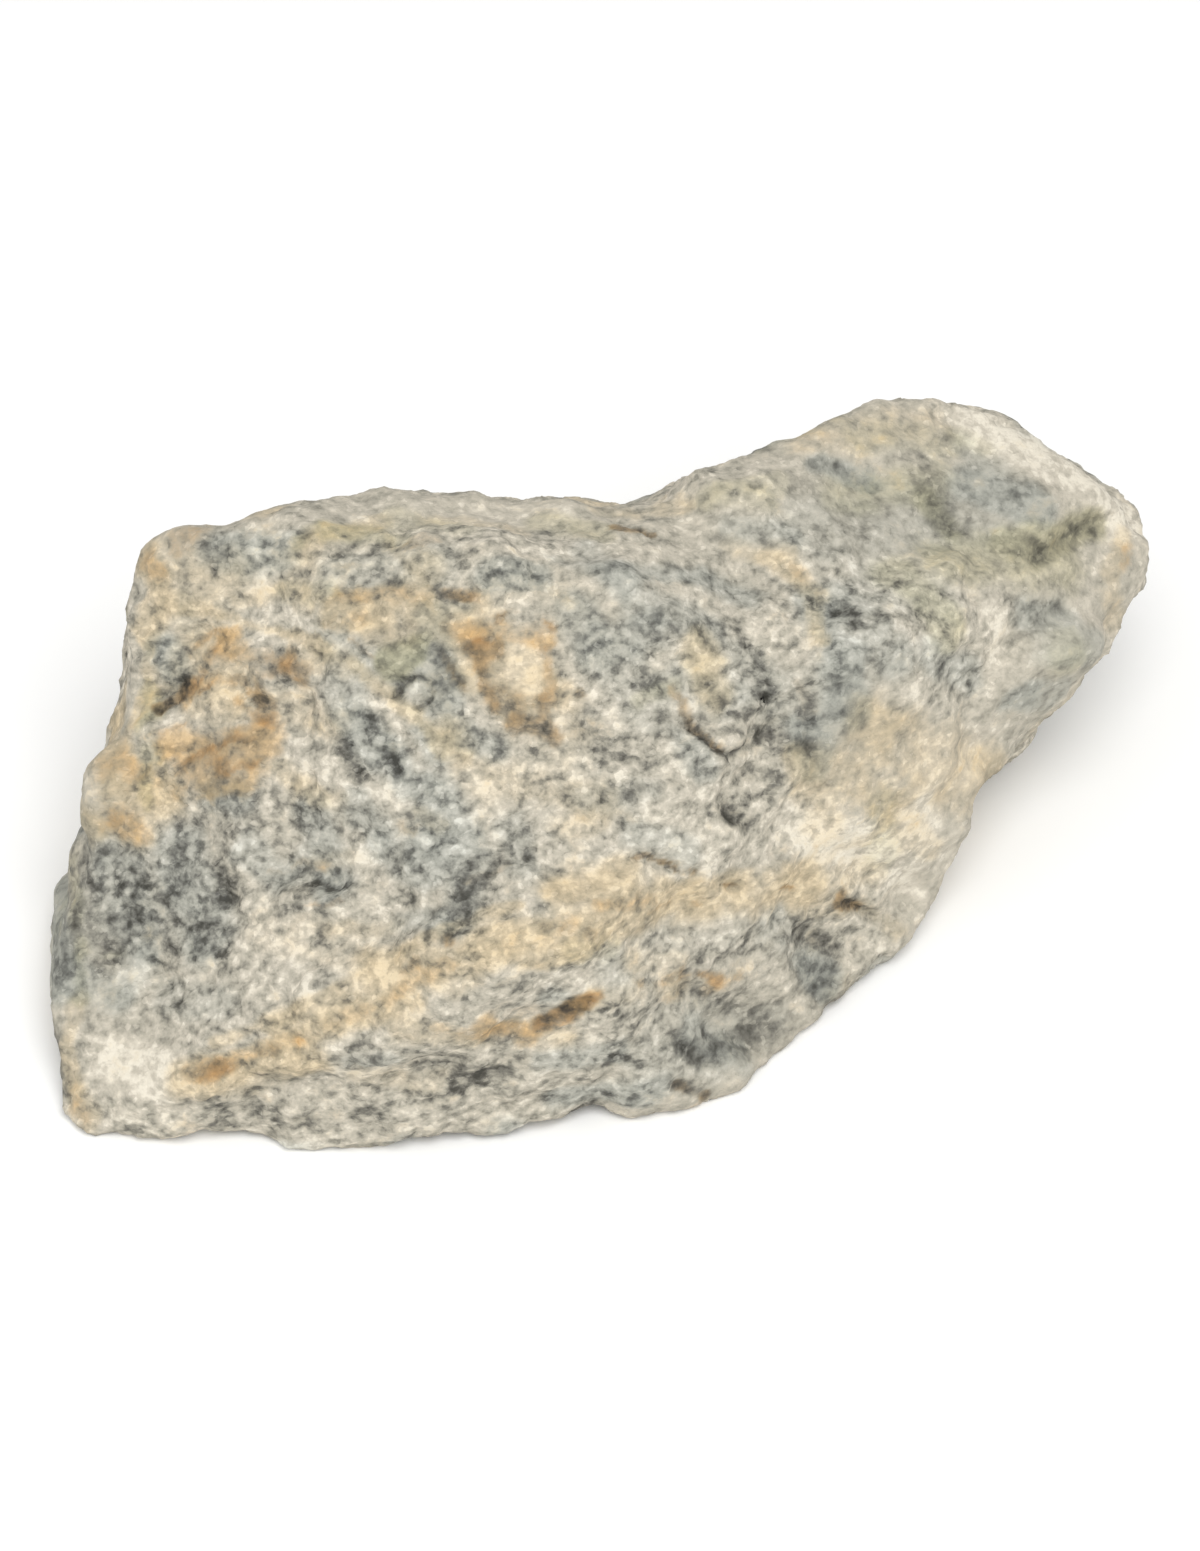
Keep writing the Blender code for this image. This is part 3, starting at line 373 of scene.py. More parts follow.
        (1.6, 0.4, (38.6, 37.4), (41.9, 35.4)), (2, 0.6, (-22.1, 13.1)),
        (1.4, 0.5, (-23.4, 11.7), (-20.1, 14.2)), (1.6, 0.4, (-32.6, 25.6), (-26.1, 26.7)),
        (2, 0.35, (10.9, 30), (19.6, 32.2)),
    ],
    "pale": [
        (3, 0.9, (-53, -30.4), (-48, -33)), (1.3, 0.75, (-51, -21), (-48, -22)),
        (0.5, 0.8, (-53, -10), (-53.8, -14.5)), (1.5, 0.75, (-37, 21), (-36, 20)),
        (1.3, 0.9, (-46.5, 6), (-45, 4.6)), (1, 0.8, (-40, 9.4)), (2.2, 0.55, (-8.6, 13), (-7.6, 10.4)),
        (1.1, 1, (-20.4, 9)), (0.9, 0.55, (-26.3, 10.8), (-21.7, 6.9), (-14.7, 2.3)),
        (0.9, 0.7, (-11.6, -21), (-2.4, -21.6)), (2.2, 1, (41, 39.6), (48, 36), (53, 32.4), (58, 28)),
        (1.4, 0.9, (27.4, 14.8)), (1.3, 0.9, (42.6, 18), (43.6, 15.6)), (1, 0.1, (13.4, 5.8), (15, 3.6)),
        (3, 0.95, (23, -6), (28.6, -8.6)), (2, 0.5, (3, -8), (12, -9)),
        (1.6, 0.6, (-36, -16), (-33, -18)), (1.2, 0.6, (-26, -17.6), (-24, -19)),
        (1, 0.6, (-7, -32.6), (-5.6, -29.4)), (1, 0.5, (-10, 24), (0, 25)),
        (0.7, 0.6, (43, 21), (50, 22.4)), (1.2, 0.6, (34, 9.6), (35, 8.4)),
        (0.9, 0.5, (33, 20), (36, 21)), (1, 0.6, (11, 13), (14, 11)), (1.2, 0.55, (-24.6, 3.2)),
        (2, 0.45, (-34, -20), (-30, -24)), (2.2, 0.5, (35, -4), (38, -9)),
        (0.8, 0.6, (-29, -32), (-25, -32.8)), (1.4, 0.5, (-38, -8), (-36, -10)),
        (1, 0.55, (20, 12.4), (21, 10.6)), (1.2, 0.5, (8, 2), (9, -1)), (1.4, 0.4, (-32, 0), (-30, 0)),
        (2.8, 0.8, (40, 38), (50, 33), (57, 27)), (3.6, 0.4, (22, -5), (29, -8)),
        (3, 0.5, (36, 3), (33, -9)), (2.4, 0.5, (42, 4), (39, 0)), (1.6, 0.5, (-34.4, 5.4), (-33, 3)),
        (2.6, 0.35, (-2, -12), (12, -14), (24, -12)),
        (0.7, 0.7, (-38.5, 18.6), (-32.4, 9.7), (-22.8, 6.4), (-14, 0.2), (-9.2, -3.2)),
        (0.6, 0.5, (-35.1, -10), (-24.3, -8.6), (-18.5, -7)),
        (0.8, 0.55, (5.9, 11.4), (12.6, 4.4), (15.8, 3.3)), (0.8, 0.6, (18.1, 1.1), (20.7, 4.4)),
        (0.7, 0.5, (-4.4, 1.7), (2.2, -2.7), (10.9, -5.9)), (1.2, 0.5, (-17.4, -16.3), (-15.8, -18.4)),
        (1.6, 0.5, (-40.8, -25), (-39.2, -27.7)), (1.6, 0.5, (-26.7, -22.2), (-22.8, -22.8)),
        # the mark from (31.6, -10.3) to (34.8, -11.9) lies where the right edge turns from the lamps: it is
        # pale stone, and also painted light over that shade
        (1.4, 0.5, (-2.2, -22.8), (1.1, -23.9)), (2.2, 0.7, (31.6, -10.3), (34.8, -11.9)),
        (1.6, 0.4, (18.5, 23.4), (21.8, 22.4)), (0.8, 0.6, (-29.4, -2.7), (-21.8, -2.1), (-14.1, -4.8)),
        (0.8, 0.5, (-27.7, -11.4), (-26.1, -8.1), (-21.8, -7)),
        (0.8, 0.5, (-19.6, -12.5), (-16.3, -8.1), (-10.9, -6.5)),
        (0.8, 0.55, (-10.9, 1.7), (-4.4, 6), (-1.1, 9.3)),
        (0.7, 0.5, (4.4, -3.8), (10.9, -2.7), (17.4, -0.5)),
        (0.45, 0.8, (16.4, 9.3), (17.3, 7), (19.4, 7)),
        (0.45, 0.7, (12.5, -2.7), (15, -6.8), (17.8, -2.7)), (2.6, 0.3, (-23.9, 27.8), (-4.4, 28.9)),
        (2.2, 0.19, (32.6, 22.4), (39.2, 16.9)), (0.4, 0.5, (7, -29.4), (9.6, -32.5), (12.6, -32.7)),
        (1.4, 0.4, (23.9, -5.9), (27.2, -8.1)), (1, 0.4, (-10.9, -27.7), (-4.4, -26.1)),
        (2.4, 0.5, (21.8, -5.9), (28.3, -7.6)), (2, 0.3, (31.6, 14.7), (43.5, 13.1)),
        (1, 0.45, (30.5, 9.3), (31.1, 8.2)), (0.9, 0.45, (41.9, 10.4), (42.4, 9.3)),
        (0.8, 0.5, (26.8, 23.4), (28.3, 21.8)), (1, 0.4, (1.1, 0.6), (5.4, -0.5)),
        (0.5, 0.5, (-13.1, -30.1), (-6.5, -28.8), (0, -26.6)), (1.6, 0.45, (47.9, 13.7), (52.2, 18)),
        (1, 0.5, (33.2, -4.3), (30.5, -9.2)), (1.4, 0.35, (2.2, 14.7), (4.4, 19.1)),
        (0.9, 0.35, (-11.4, -28.1), (-9.2, -27.5)),
    ],
    "calm": [
        (13, 0.9, (26, 34), (48, 27)), (8, 0.8, (30, 4), (42, -2)), (5, 0.7, (-45, 27), (12, 28)),
        (5, 0.7, (-52, 6), (-55, -4)), (4, 0.35, (-6, -14), (10, -14), (24, -10)), (5, 0.6, (-50, -31)),
        (5, 0.5, (-10, 13), (-22, 13)), (4, 0.6, (-41, 2)), (6, 0.4, (0, 20), (14, 22)),
        (6, 0.8, (56, 22.1), (56, 14.2)), (6, 0.6, (47.9, 8.2), (41.3, 0.6)),
        (4.5, 0.9, (56.4, 23.4), (57.9, 18), (56.6, 12.6), (52.8, 8.2)),
        (5, 0.9, (49, 5), (43.5, -1.6), (39.7, -8.1), (34.3, -14.6)),
        (4.5, 0.7, (28.3, 8.2), (26.1, 3.9)), (4, 0.6, (-29.4, 27.8), (-16.3, 29.4), (-2.2, 29.4)),
    ],
}
# Small crevices and pits, then four low swells, which have a negative depth.
# Each one is: radius mm, depth mm, then points as above.
cuts = [
    (0.7, 0.4, (9.8, 5.7), (12.2, 3.6), (14.4, 2), (16.9, 3.6), (18.9, 5.7)), (1.1, 1.5, (18.2, 8.6)),
    (1.5, 0.6, (13.9, -4), (16.1, -5.1)), (0.8, 0.7, (27, -14), (29.8, -15.3)),
    (0.7, 0.6, (-47.9, 8.9), (-45.5, 10.2)), (0.8, 0.5, (1.6, 27.8), (6.1, 25.9)),
    (0.7, 0.3, (3.6, -8.9), (11.1, -10.5)), (0.7, 0.3, (13.7, -12), (21.2, -12.3)),
    (1, 0.3, (-10.9, -27.9), (-6, -26.2), (-1.1, -24.2)), (0.8, 0.4, (22.4, 5), (23.4, 1.5)),
    (0.8, 0.4, (8.3, -28.8), (9.8, -30.1), (11.5, -31.6)), (0.7, 0.4, (-48.9, -19.9), (-47.1, -22.8)),
    (1, 0.3, (47.3, 23.4), (51.1, 25.6), (54.4, 27.8)), (0.9, 0.4, (-28.7, 24.4)),
    (0.9, 0.4, (-25.1, 24.2)), (1.2, 0.4, (-15.4, -32.9), (-10.9, -32)),
    (1.8, 0.4, (21.8, -17.4), (25.6, -19)),
    (0.6, 0.45, (-22.2, 8.6), (-21.7, 10.3), (-20.3, 10.7), (-19, 10), (-18.7, 8.5), (-19.6, 7.3)),
    (0.6, 0.35, (38.3, 27.3), (38.7, 26.5), (39.7, 26.4), (40.1, 27.3)),
    (0.8, 0.4, (0.4, -1.6), (3.5, -5.3)), (0.9, 0.4, (-27.2, 3), (-26.3, 0.8)),
    (0.8, 0.4, (-22.8, 2.6), (-22, 0.6)), (0.8, 0.4, (-41.3, -10.3), (-40.7, -14.1)),
    (5, -1.3, (-54.9, -1), (-56.8, -5.4), (-58.1, -9.2)), (5, -1.1, (58.3, 19.1), (56.8, 14.2)),
    (4, -0.9, (12.2, -33.7), (13.3, -32)), (4, -0.7, (-49.5, 23.4), (-44.6, 25.4)),
]
# The same marks, strewn over the sides that the picture doesn't show.
strewn = {
    # how many, least and most radius mm, least and most length mm, least and most strength
    "dark": (150, 0.7, 2.0, 0.5, 5, 0.5, 1.0),
    "slate": (60, 1.4, 3.2, 2, 8, 0.4, 0.8),
    "tan": (48, 1.6, 3.6, 3, 14, 0.4, 0.8),
    "rust": (22, 0.8, 2.0, 1, 5, 0.4, 0.8),
    "brown": (18, 0.6, 1.4, 1, 4, 0.5, 0.9),
    "olive": (24, 1.4, 3.4, 3, 9, 0.3, 0.6),
    "pale": (44, 0.9, 2.6, 1, 8, 0.5, 0.9),
    "calm": (14, 5, 13, 5, 20, 0.5, 0.9),
}
# Which way the fibres run, as strokes in the same millimetres of the picture.
strokes = [
    ((-58.6, -24), (-57.6, -10), (-55, -3)), ((-53, -20), (-50.5, -8)), ((-45, -22), (-41, -8)),
    ((-35, -18), (-31, -3)), ((-24, -15), (-20, -4)), ((-15.5, -17), (-12, -8)), ((-9, -10), (-5, -2)),
    ((-56, -4), (-52, 8), (-50, 20)), ((-48, 22), (-40, 14), (-34, 8)), ((-44, -1), (-36, 5), (-30, 14)),
    ((-32.6, 17), (-26.3, 10.8), (-14.7, 2.3), (-6, -2)),
    ((-44, 25), (-32, 26), (-24, 26.4), (-19, 21), (-13, 19)), ((-12, 28), (2, 26.4), (13, 28)),
    ((-10, 21), (0, 22), (10, 20)), ((-4, 16), (6, 10), (14.5, 2)), ((2, 4), (8, -2), (14, -6)),
    ((15, 26), (22, 22.4), (26.5, 17), (27.5, 8), (24, 0)), ((16, 14), (19, 6), (22, -2)),
    ((20, 33), (32, 37)), ((24, 25), (38, 30), (49, 33.5)), ((40, 19), (50, 23.5), (56.5, 28)),
    ((30, 12), (40, 14), (52, 16)), ((25, -1), (33, 6), (42, 14)), ((36, -8), (42, 0), (50, 8)),
    ((-44.6, -33), (-29, -25.6), (-4.4, -16), (2, -11.4)), ((-16, -21), (11, -12.4), (27, -8)),
    ((2, -8), (14, -11), (26, -12.6)), ((-54, -32), (-44, -26), (-36, -22)),
    ((-39, -36.4), (-13, -33), (11, -31)), ((-12, -28), (0, -24.4), (27, -20)), ((0, -20), (22, -17)),
    ((12, -31), (20, -25), (28, -18)),
]
fibre = {
    "reach": 7,  # mm over which a stroke turns the fibres
    "bandingShare": 0.02,  # how firmly they follow the banding away from the strokes
    "passes": 14,
    "hold": 0.4,  # how firmly each point keeps its own tone in a pass
    "straightness": 5,
    "height": 0.05,  # mm
    "seed": 4,
}
markEdge = {"start": 0.45, "end": 1.45}  # shares of the radius between which a mark fades
markWarp = [(5.0, 0.9), (1.7, 0.45)]  # wavelength mm, reach mm
strewnSeed = 11


def placeInPicture(tree, across, up):
    # where the line from the eye through a point of the picture meets the stone
    through = aim + (viewRight * across + viewUp * up) * mm
    place = tree.ray_cast(eye, (through - eye).normalized())[0]
    if place is None:
        place = tree.find_nearest(through)[0]
        print("mark beside the stone:", across, up)
    return np.array(place) / mm


def distanceToPath(places, path):
    nearest = np.linalg.norm(places - path[0], axis=1)
    for start, end in zip(path, path[1:]):
        along = end - start
        share = np.clip((places - start) @ along / (along @ along), 0, 1)
        gap = places - start - share[:, None] * along
        nearest = np.minimum(nearest, np.linalg.norm(gap, axis=1))
    return nearest


def strewnPaths(kind, places, facing, dice):
    # short paths along the banding, on the faces turned away from the eye
    count, thin, thick, short, long, faint, strong = strewn[kind]
    hidden = np.nonzero(facing @ np.array(viewBack) < 0.02)[0]
    for _ in range(count):
        spot = hidden[dice.randrange(len(hidden))]
        turn = Vector((dice.uniform(-1, 1), dice.uniform(-1, 1), dice.uniform(-0.25, 0.25)))
        along = turn - banding * turn.dot(banding) * 0.9
        out = Vector(facing[spot])
        along = (along - out * along.dot(out)).normalized()
        reach = np.array(along) * dice.uniform(short, long) / 2
        radius, strength = dice.uniform(thin, thick), dice.uniform(faint, strong)
        yield radius, strength, [places[spot] - reach, places[spot] + reach]


def surfaceTree(piece):
    bm = bmesh.new()
    bm.from_mesh(piece.data)
    tree = BVHTree.FromBMesh(bm)
    bm.free()
    return tree


def markMinerals(piece, tree):
    # how much of each mineral there is at each point, as attributes of the mesh
    places, facing = pointsOf(piece.data)
    warped = places.copy()
    for wavelength, reach in markWarp:
        warped += eachPoint(lambda p: noise.noise_vector(p / wavelength), places) * reach
    dice = random.Random(strewnSeed)
    amounts = {}
    for kind, drawn in marks.items():
        rest = np.ones(len(places))
        paths = []
        for radius, strength, *path in drawn:
            paths.append((radius, strength, [placeInPicture(tree, *point) for point in path]))
        paths += list(strewnPaths(kind, places, facing, dice))
        for radius, strength, path in paths:
            gaps = distanceToPath(warped, path) / radius
            fade = 1 - smoothStep(markEdge["start"], markEdge["end"], gaps)
            rest *= 1 - strength * fade
        amounts[kind] = 1 - rest
        field = piece.data.attributes.new(kind, "FLOAT", "POINT")
        field.data.foreach_set("value", amounts[kind].astype(np.float32))
    return amounts


def cutDepths(piece, tree):
    # how deep the crevices and pits are at each point, in mm
    places, _ = pointsOf(piece.data)
    depths = np.zeros(len(places))
    for radius, depth, *path in cuts:
        gaps = distanceToPath(places, [placeInPicture(tree, *point) for point in path]) / radius
        depths += depth * (1 - smoothStep(*stone["cutEdge"], gaps))
    # the depth is also kept for the colour, where it darkens the hollows: painted shade
    field = piece.data.attributes.new("crevice", "FLOAT", "POINT")
    field.data.foreach_set("value", np.clip(depths, 0, 1).astype(np.float32))
    return depths


def fibreDirections(piece, tree):
    # the way the fibres run at each point: along the near strokes, and elsewhere along the banding
    places, facing = pointsOf(piece.data)
    level = np.cross(np.array(banding), facing)
    level /= np.maximum(np.linalg.norm(level, axis=1), 0.05)[:, None]
    spread = fibre["bandingShare"] * level[:, :, None] * level[:, None, :]
    for stroke in strokes:
        path = [placeInPicture(tree, *point) for point in stroke]
        for start, end in zip(path, path[1:]):
            along = (end - start) / np.linalg.norm(end - start)
            near = np.exp(-((distanceToPath(places, [start, end]) / fibre["reach"]) ** 2))
            spread += near[:, None, None] * np.outer(along, along)
    return np.linalg.eigh(spread)[1][:, :, 2]


def growFibres(piece, tree):
    # random tones drawn out along the fibres, spread evenly from 0 to 1
    places, _ = pointsOf(piece.data)
    directions = fibreDirections(piece, tree)
    ends = np.zeros(len(piece.data.edges) * 2, dtype=np.int64)
    piece.data.edges.foreach_get("vertices", ends)
    a, b = ends.reshape(-1, 2).T
    edge = places[b] - places[a]
    edge /= np.maximum(np.linalg.norm(edge, axis=1), 1e-6)[:, None]
    straight = np.maximum((edge * directions[a]).sum(1) ** 2, (edge * directions[b]).sum(1) ** 2)
    weight = np.exp(-fibre["straightness"] * (1 - straight))
    tone = np.random.default_rng(fibre["seed"]).random(len(places))
    count = len(places)
    total = fibre["hold"] + np.bincount(a, weight, count) + np.bincount(b, weight, count)
    for _ in range(fibre["passes"]):
        drawn = np.bincount(a, weight * tone[b], count) + np.bincount(b, weight * tone[a], count)
        tone = (fibre["hold"] * tone + drawn) / total
    even = np.empty(len(tone))
    even[np.argsort(tone)] = np.linspace(0, 1, len(tone))
    field = piece.data.attributes.new("fibre", "FLOAT", "POINT")
    field.data.foreach_set("value", even.astype(np.float32))
    return even


def chipHeight(p, width, lean, step):
    # flat little breaks, each leaning its own way
    spread = (p + banding * p.dot(banding) * (stone["chipFlattening"] - 1)) / width
    distances, centres = noise.voronoi(spread)
    heights = []
    for centre in centres[:2]:
        roll = noise.cell_vector(centre * 61.7) - Vector((0.5, 0.5, 0.5))
        heights.append(step * (roll.x + roll.y) + lean * width * roll.dot(spread - centre))
    t = min((distances[1] - distances[0]) / stone["chipEdge"], 1)
    own = 0.5 + 0.5 * t * t * (3 - 2 * t)
    return own * heights[0] + (1 - own) * heights[1]


def laminaHeight(p):
    spacing, height = stone["lamina"]
    bent = p.dot(banding)
    for wavelength, reach in stone["laminaBends"]:
        bent = bent + reach * noise.noise(p / wavelength)
    along = p - banding * p.dot(banding)
    return height * noise.noise(along / stone["laminaLength"] + banding * bent / spacing)


def cutFineRelief(piece, amounts, fibres, depths):
    places, facing = pointsOf(piece.data)
    rise = np.zeros(len(places))
    for width, lean, step in stone["chips"]:
        rise += eachPoint(lambda p: chipHeight(p, width, lean, step), places)
    wavelength, height, octaves = stone["crumb"]
    rise += height * eachPoint(lambda p: noise.fractal(p / wavelength, 1, 2, octaves), places)
    steep = 1 - facing[:, 2] ** 2
    elsewhere = Vector((3, 7, 1))
    patches = eachPoint(lambda p: noise.noise(p / stone["laminaPatch"] + elsewhere), places)
    patches = smoothStep(-0.3, 0.3, patches)
    # the layers stand out on steep faces most, and nowhere vanish
    rise += eachPoint(laminaHeight, places) * (0.35 + 0.65 * steep) * (0.4 + 0.6 * patches)
    rise *= 1 - stone["calmness"] * amounts["calm"]
    rise += fibre["height"] * (fibres - 0.5)
    rise -= stone["clotDepth"] * amounts["dark"]
    rise -= 0.5 * stone["clotDepth"] * amounts["brown"]
    rise -= depths
    moved = places + facing * rise[:, None]
    moved[:, 2] = np.maximum(moved[:, 2], cadLow.z / mm)  # the resting face stays flat
    piece.data.vertices.foreach_set("co", (moved * mm).ravel())
    piece.data.update()


# the stone's surface
class Wire:
    # a node's output, with arithmetic that adds the nodes it needs
    tree = None

    def __init__(self, socket):
        self.socket = socket

    @classmethod
    def node(cls, kind, settings=None, values=None, output=0):
        made = cls.tree.nodes.new(kind)
        for name, value in (settings or {}).items():
            if name == "stops":
                cls.setStops(made.color_ramp.elements, value)
            else:
                setattr(made, name, value)
        for name, value in (values or {}).items():
            if isinstance(value, Wire):
                cls.tree.links.new(value.socket, made.inputs[name])
            else:
                made.inputs[name].default_value = value
        return cls(made.outputs[output])

    @staticmethod
    def setStops(elements, stops):
        while len(elements) < len(stops):
            elements.new(1)
        for element, (position, colour) in zip(elements, stops):
            element.position = position
            element.color = colour

    @classmethod
    def maths(cls, operation, a, b, clamp=False):
        return cls.node("ShaderNodeMath", {"operation": operation, "use_clamp": clamp}, {0: a, 1: b})

    def __add__(self, other):
        return Wire.maths("ADD", self, other)

    def __radd__(self, other):
        return Wire.maths("ADD", other, self)

    def __sub__(self, other):
        return Wire.maths("SUBTRACT", self, other)

    def __rsub__(self, other):
        return Wire.maths("SUBTRACT", other, self)

    def __mul__(self, other):
        return Wire.maths("MULTIPLY", self, other)

    def __rmul__(self, other):
        return Wire.maths("MULTIPLY", other, self)

    def ramp(self, low, high):
        # 0 below low, 1 above high, and smooth between them
        settings = {"interpolation_type": "SMOOTHSTEP"}
        return Wire.node("ShaderNodeMapRange", settings, {"Value": self, "From Min": low, "From Max": high})

    def part(self, index):
        return Wire.node("ShaderNodeSeparateXYZ", {}, {0: self}, index)


def blend(share, under, over, way="MIX"):
    settings = {"data_type": "RGBA", "blend_type": way, "clamp_factor": True}
    return Wire.node("ShaderNodeMix", settings, {0: share, 6: under, 7: over}, 2)


def vectors(operation, a, b):
    return Wire.node("ShaderNodeVectorMath", {"operation": operation}, {0: a, 1: b})


def scaled(vector, factor):
    return Wire.node("ShaderNodeVectorMath", {"operation": "SCALE"}, {0: vector, "Scale": factor})


def clouds(place, size, detail=2.0, rough=0.5):
    # smooth noise about 0.5, with lumps of that size in mm
    values = {"Vector": place, "Scale": 1 / size, "Detail": detail, "Roughness": rough}
    return Wire.node("ShaderNodeTexNoise", {}, values)


def attribute(name):
    return Wire.node("ShaderNodeAttribute", {"attribute_name": name}, output=2)


def cellsOf(place, size, output):
    values = {"Vector": place, "Scale": 1 / size}
    return Wire.node("ShaderNodeTexVoronoi", {}, values, output)


def grainsOf(place, size):
    # lumps with soft borders, each of one random colour
    settings = {"feature": "SMOOTH_F1"}
    values = {"Vector": place, "Scale": 1 / size, "Smoothness": 0.35}
    return Wire.node("ShaderNodeTexVoronoi", settings, values, 1)


def paint(red, green, blue):
    # a colour, 0 to 255, as a screen shows it when it is in the studio's light
    return tuple(((c / 255 + 0.055) / 1.055) ** 2.4 / studioLevel for c in (red, green, blue)) + (1,)


studioLevel = 1.15
surface = {
    # the minerals from the darkest to the palest, with where each one stands on the ramp
    "minerals": [
        (0.00, paint(62, 60, 51)), (0.12, paint(86, 83, 74)), (0.24, paint(114, 111, 101)),
        (0.38, paint(148, 144, 131)), (0.58, paint(184, 178, 162)), (0.80, paint(209, 201, 184)),
        (1.00, paint(238, 230, 212)),
    ],
    # how much paler each mark makes the minerals, or darker
    "tones": {
        # the crevice entry darkens the hollows by their depth: painted shade, not a mineral
        "dark": -0.3, "slate": -0.15, "brown": -0.15, "crevice": -0.42, "olive": -0.10, "pale": 0.3,
        "tan": 0.04,
    },
    # stains as they would tint white stone, in the order in which they lie over each other,
    # and the mark's strength where each one starts and ends, its most, and how ragged it is
    "stains": [
        ("tan", 0.0, 1.15, 0.95, 0.5), ("olive", 0.0, 1.0, 0.8, 0.4), ("slate", 0.0, 0.9, 0.9, 0.4),
        ("rust", 0.05, 1.1, 0.95, 0.7), ("brown", 0.1, 0.9, 0.9, 0.6),
    ],
    "tan": (0.97, 0.86, 0.68, 1),
    "slate": (0.86, 0.93, 1.0, 1),
    "olive": (0.90, 0.89, 0.70, 1),
    "rust": (0.83, 0.65, 0.43, 1),
    "brown": (0.70, 0.56, 0.40, 1),
    # sizes in mm
    "patch": 4.5,
    "grit": 1.5,
    "lump": 1.0,
    "wobble": 0.9,
    "lamina": 0.8,
    "flake": 0.6,
    "fine": 0.45,
    "depth": 0.16,
    "base": 0.65,  # where plain stone stands on the minerals' ramp
    "calmness": 0.5,  # share of the grains' contrast that calm places lose
    "roughness": 0.85,
}


def stoneMaterial():
    material = bpy.data.materials.new("banded gneiss")
    material.use_nodes = True
    Wire.tree = material.node_tree
    shader = material.node_tree.nodes["Principled BSDF"]
    place = scaled(Wire.node("ShaderNodeTexCoord", output=3), 1 / mm)
    level = Wire.node("ShaderNodeVectorMath", {"operation": "DOT_PRODUCT"}, {0: place, 1: tuple(banding)}, 1)
    flat = vectors("ADD", place, scaled(tuple(banding), level * 0.4))
    values = {"Vector": place, "Scale": 1 / surface["wobble"], "Detail": 2.0}
    wobble = Wire.node("ShaderNodeTexNoise", {}, values, 1)
    loose = vectors("ADD", flat, scaled(vectors("SUBTRACT", wobble, (0.5, 0.5, 0.5)), 0.4))
    # the crevice attribute carries the painted shade of the hollows
    amount = {kind: attribute(kind) for kind in [*marks, "crevice"]}
    streak = attribute("fibre") - 0.5

    # each pattern runs about 0, and the offsets keep their lumps apart
    grit = clouds(loose, surface["grit"], 3, 0.55) - 0.5
    patch = clouds(vectors("ADD", flat, (31, 17, 5)), surface["patch"], 3, 0.55) - 0.5
    fine = clouds(vectors("ADD", place, (7, 13, 29)), surface["fine"], 2, 0.6) - 0.5
    lump = grainsOf(loose, surface["lump"]).part(0) - 0.5
    flake = cellsOf(loose, surface["flake"], 1)
    flakeTone, flakeHue, flakeShine = flake.part(0) - 0.5, flake.part(1) - 0.5, flake.part(2)
    along = vectors("SUBTRACT", place, scaled(tuple(banding), level * 0.9))
    layers = vectors("ADD", scaled(along, 0.3), scaled(tuple(banding), level))
    lamina = clouds(layers, surface["lamina"], 2, 0.6) - 0.5

    # where each place stands on the minerals' ramp
    contrast = 1 - amount["dark"] * 0.05 - amount["calm"] * surface["calmness"]
    mix = (grit * 1.55 + lump * 0.26 + streak * 0.1 + flakeTone * 0.09 + fine * 0.2) * contrast
    # the brightest flakes are also made paler in the colour: painted glints
    mix = mix + patch * 0.5 + lamina * 0.16 + flakeShine.ramp(0.9, 0.96) * 0.12
    mix = mix + surface["base"]
    for kind, tone in surface["tones"].items():
        mix = mix + amount[kind] * tone
    colour = Wire.node("ShaderNodeValToRGB", {"stops": surface["minerals"]}, {0: mix})

    rag = grit * 0.8 + lump * 0.15 + streak * 0.15 + flakeHue * 0.06 + patch * 1.6 + fine * 0.1
    for kind, low, high, most, ragged in surface["stains"]:
        share = (amount[kind] + rag * ragged).ramp(low, high) * most
        colour = blend(share, colour, surface[kind], "MULTIPLY")

    darkness = mix.ramp(0.5, 0.15)
    roughness = surface["roughness"] - darkness * 0.2 - flakeShine.ramp(0.88, 0.95) * 0.2
    height = grit * 1.2 + fine * 0.6 + flakeTone * 0.3 + lamina * 0.4 - darkness * 0.25
    values = {"Strength": 1.0, "Distance": surface["depth"] * mm, "Height": height}
    bump = Wire.node("ShaderNodeBump", {}, values)
    for socket, value in (("Base Color", colour), ("Roughness", roughness), ("Normal", bump)):
        Wire.tree.links.new(value.socket, shader.inputs[socket])
    return material


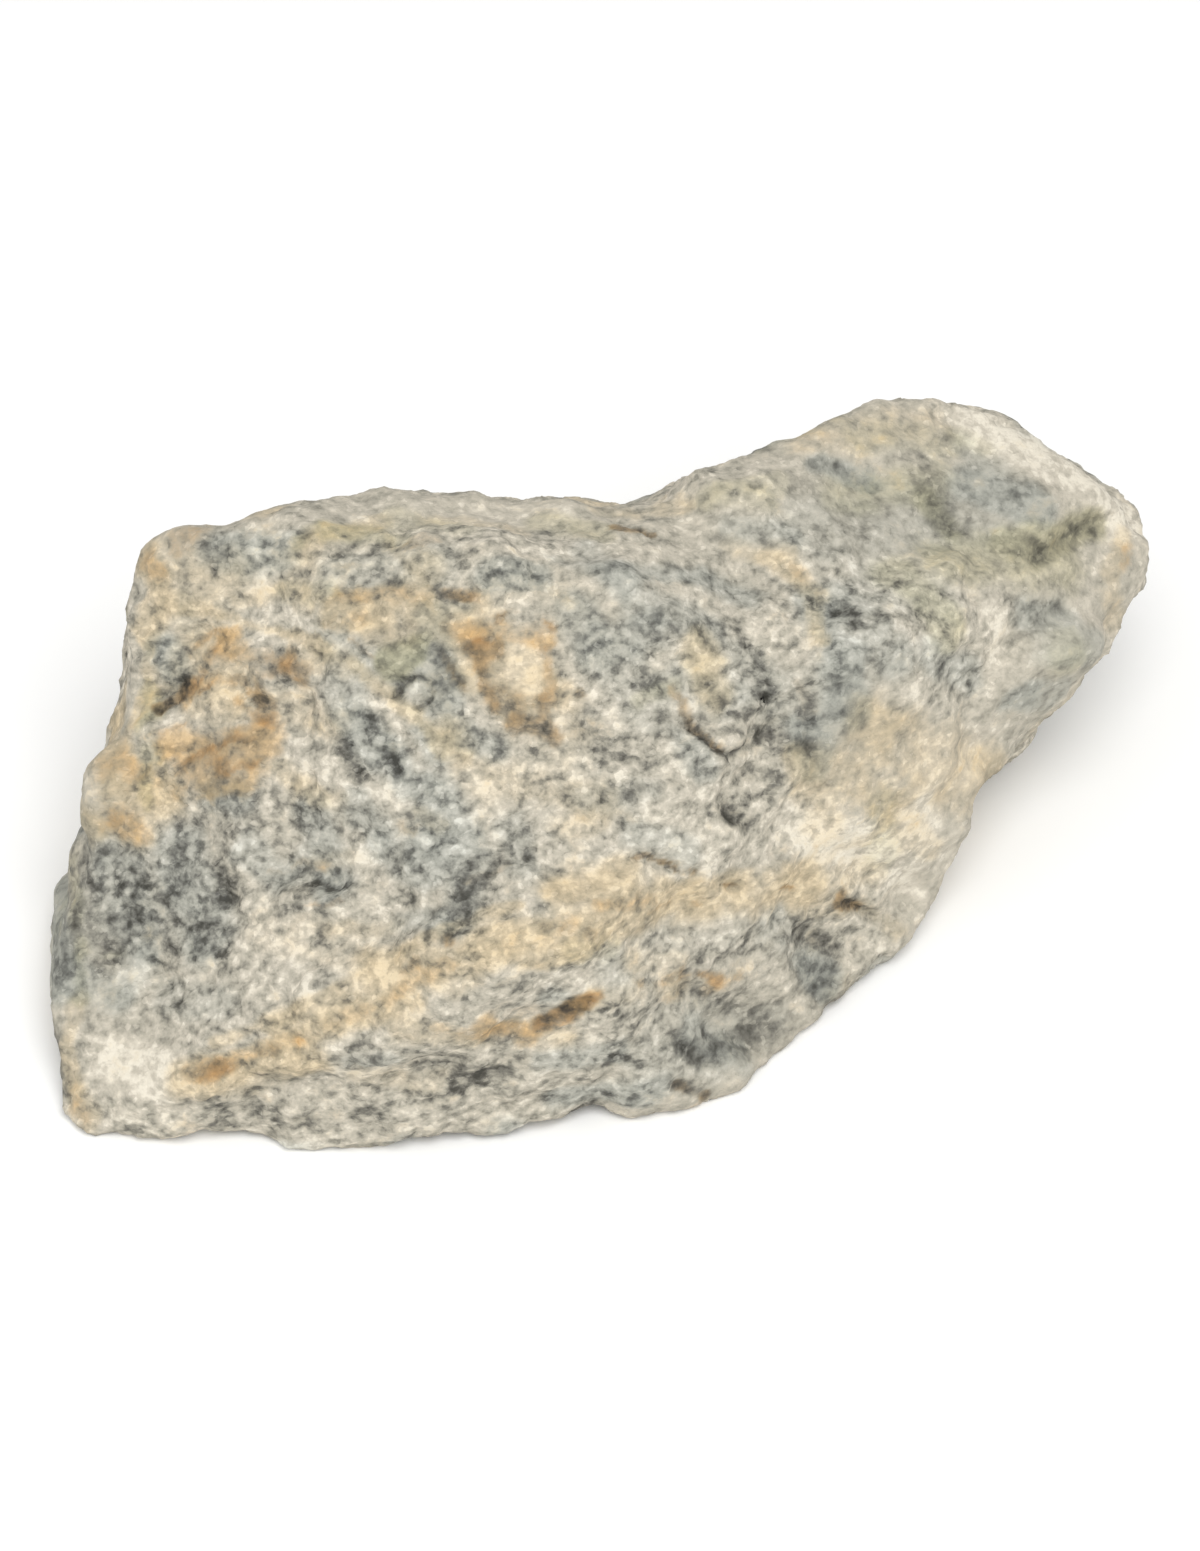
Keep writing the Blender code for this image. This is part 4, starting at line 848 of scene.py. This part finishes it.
# the floor and the light
studio = {
    "floorSize": 6000,  # mm
    "floorColour": (0.93, 0.93, 0.92, 1),
    "air": 0.60,
    "key": ((0.15, -0.5, 1.0), 0.9, 9.0),  # place m, size m, power W
    "fill": ((-0.8, -0.5, 0.6), 1.0, 1.5),
}


def addFloor():
    bm = bmesh.new()
    bmesh.ops.create_grid(bm, x_segments=1, y_segments=1, size=studio["floorSize"] * mm / 2)
    mesh = bpy.data.meshes.new("floor")
    bm.to_mesh(mesh)
    bm.free()
    floor = bpy.data.objects.new("floor", mesh)
    floor.location.z = cadLow.z
    bpy.context.collection.objects.link(floor)
    material = bpy.data.materials.new("pale floor")
    material.use_nodes = True
    shader = material.node_tree.nodes["Principled BSDF"]
    shader.inputs["Base Color"].default_value = studio["floorColour"]
    shader.inputs["Roughness"].default_value = 0.9
    mesh.materials.append(material)


def addLight():
    for name in ("key", "fill"):
        place, size, power = studio[name]
        data = bpy.data.lights.new(name, "AREA")
        data.shape = "DISK"
        data.size = size
        data.energy = power
        lamp = bpy.data.objects.new(name, data)
        lamp.location = place
        lamp.rotation_euler = Vector(place).to_track_quat("Z", "Y").to_euler()
        bpy.context.collection.objects.link(lamp)
    world = bpy.data.worlds.new("soft air")
    world.use_nodes = True
    world.node_tree.nodes["Background"].inputs["Color"].default_value = (1, 1, 1, 1)
    world.node_tree.nodes["Background"].inputs["Strength"].default_value = studio["air"]
    bpy.context.scene.world = world
    bpy.context.scene.view_settings.view_transform = "Standard"


addCamera()
addFloor()
addLight()
print("camera, floor and light")
gneiss = fineCopy(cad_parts["rock"], "gneiss")
print("fine copy:", len(gneiss.data.polygons), "faces")
gneissTree = surfaceTree(gneiss)
mineralAmounts = markMinerals(gneiss, gneissTree)
fibreTones = growFibres(gneiss, gneissTree)
print("minerals and fibres marked")
cutFineRelief(gneiss, mineralAmounts, fibreTones, cutDepths(gneiss, gneissTree))
gneiss.data.shade_smooth()
gneiss.data.materials.clear()
gneiss.data.materials.append(stoneMaterial())
print("fine relief and surface")
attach(gneiss, "root")
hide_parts("rock")
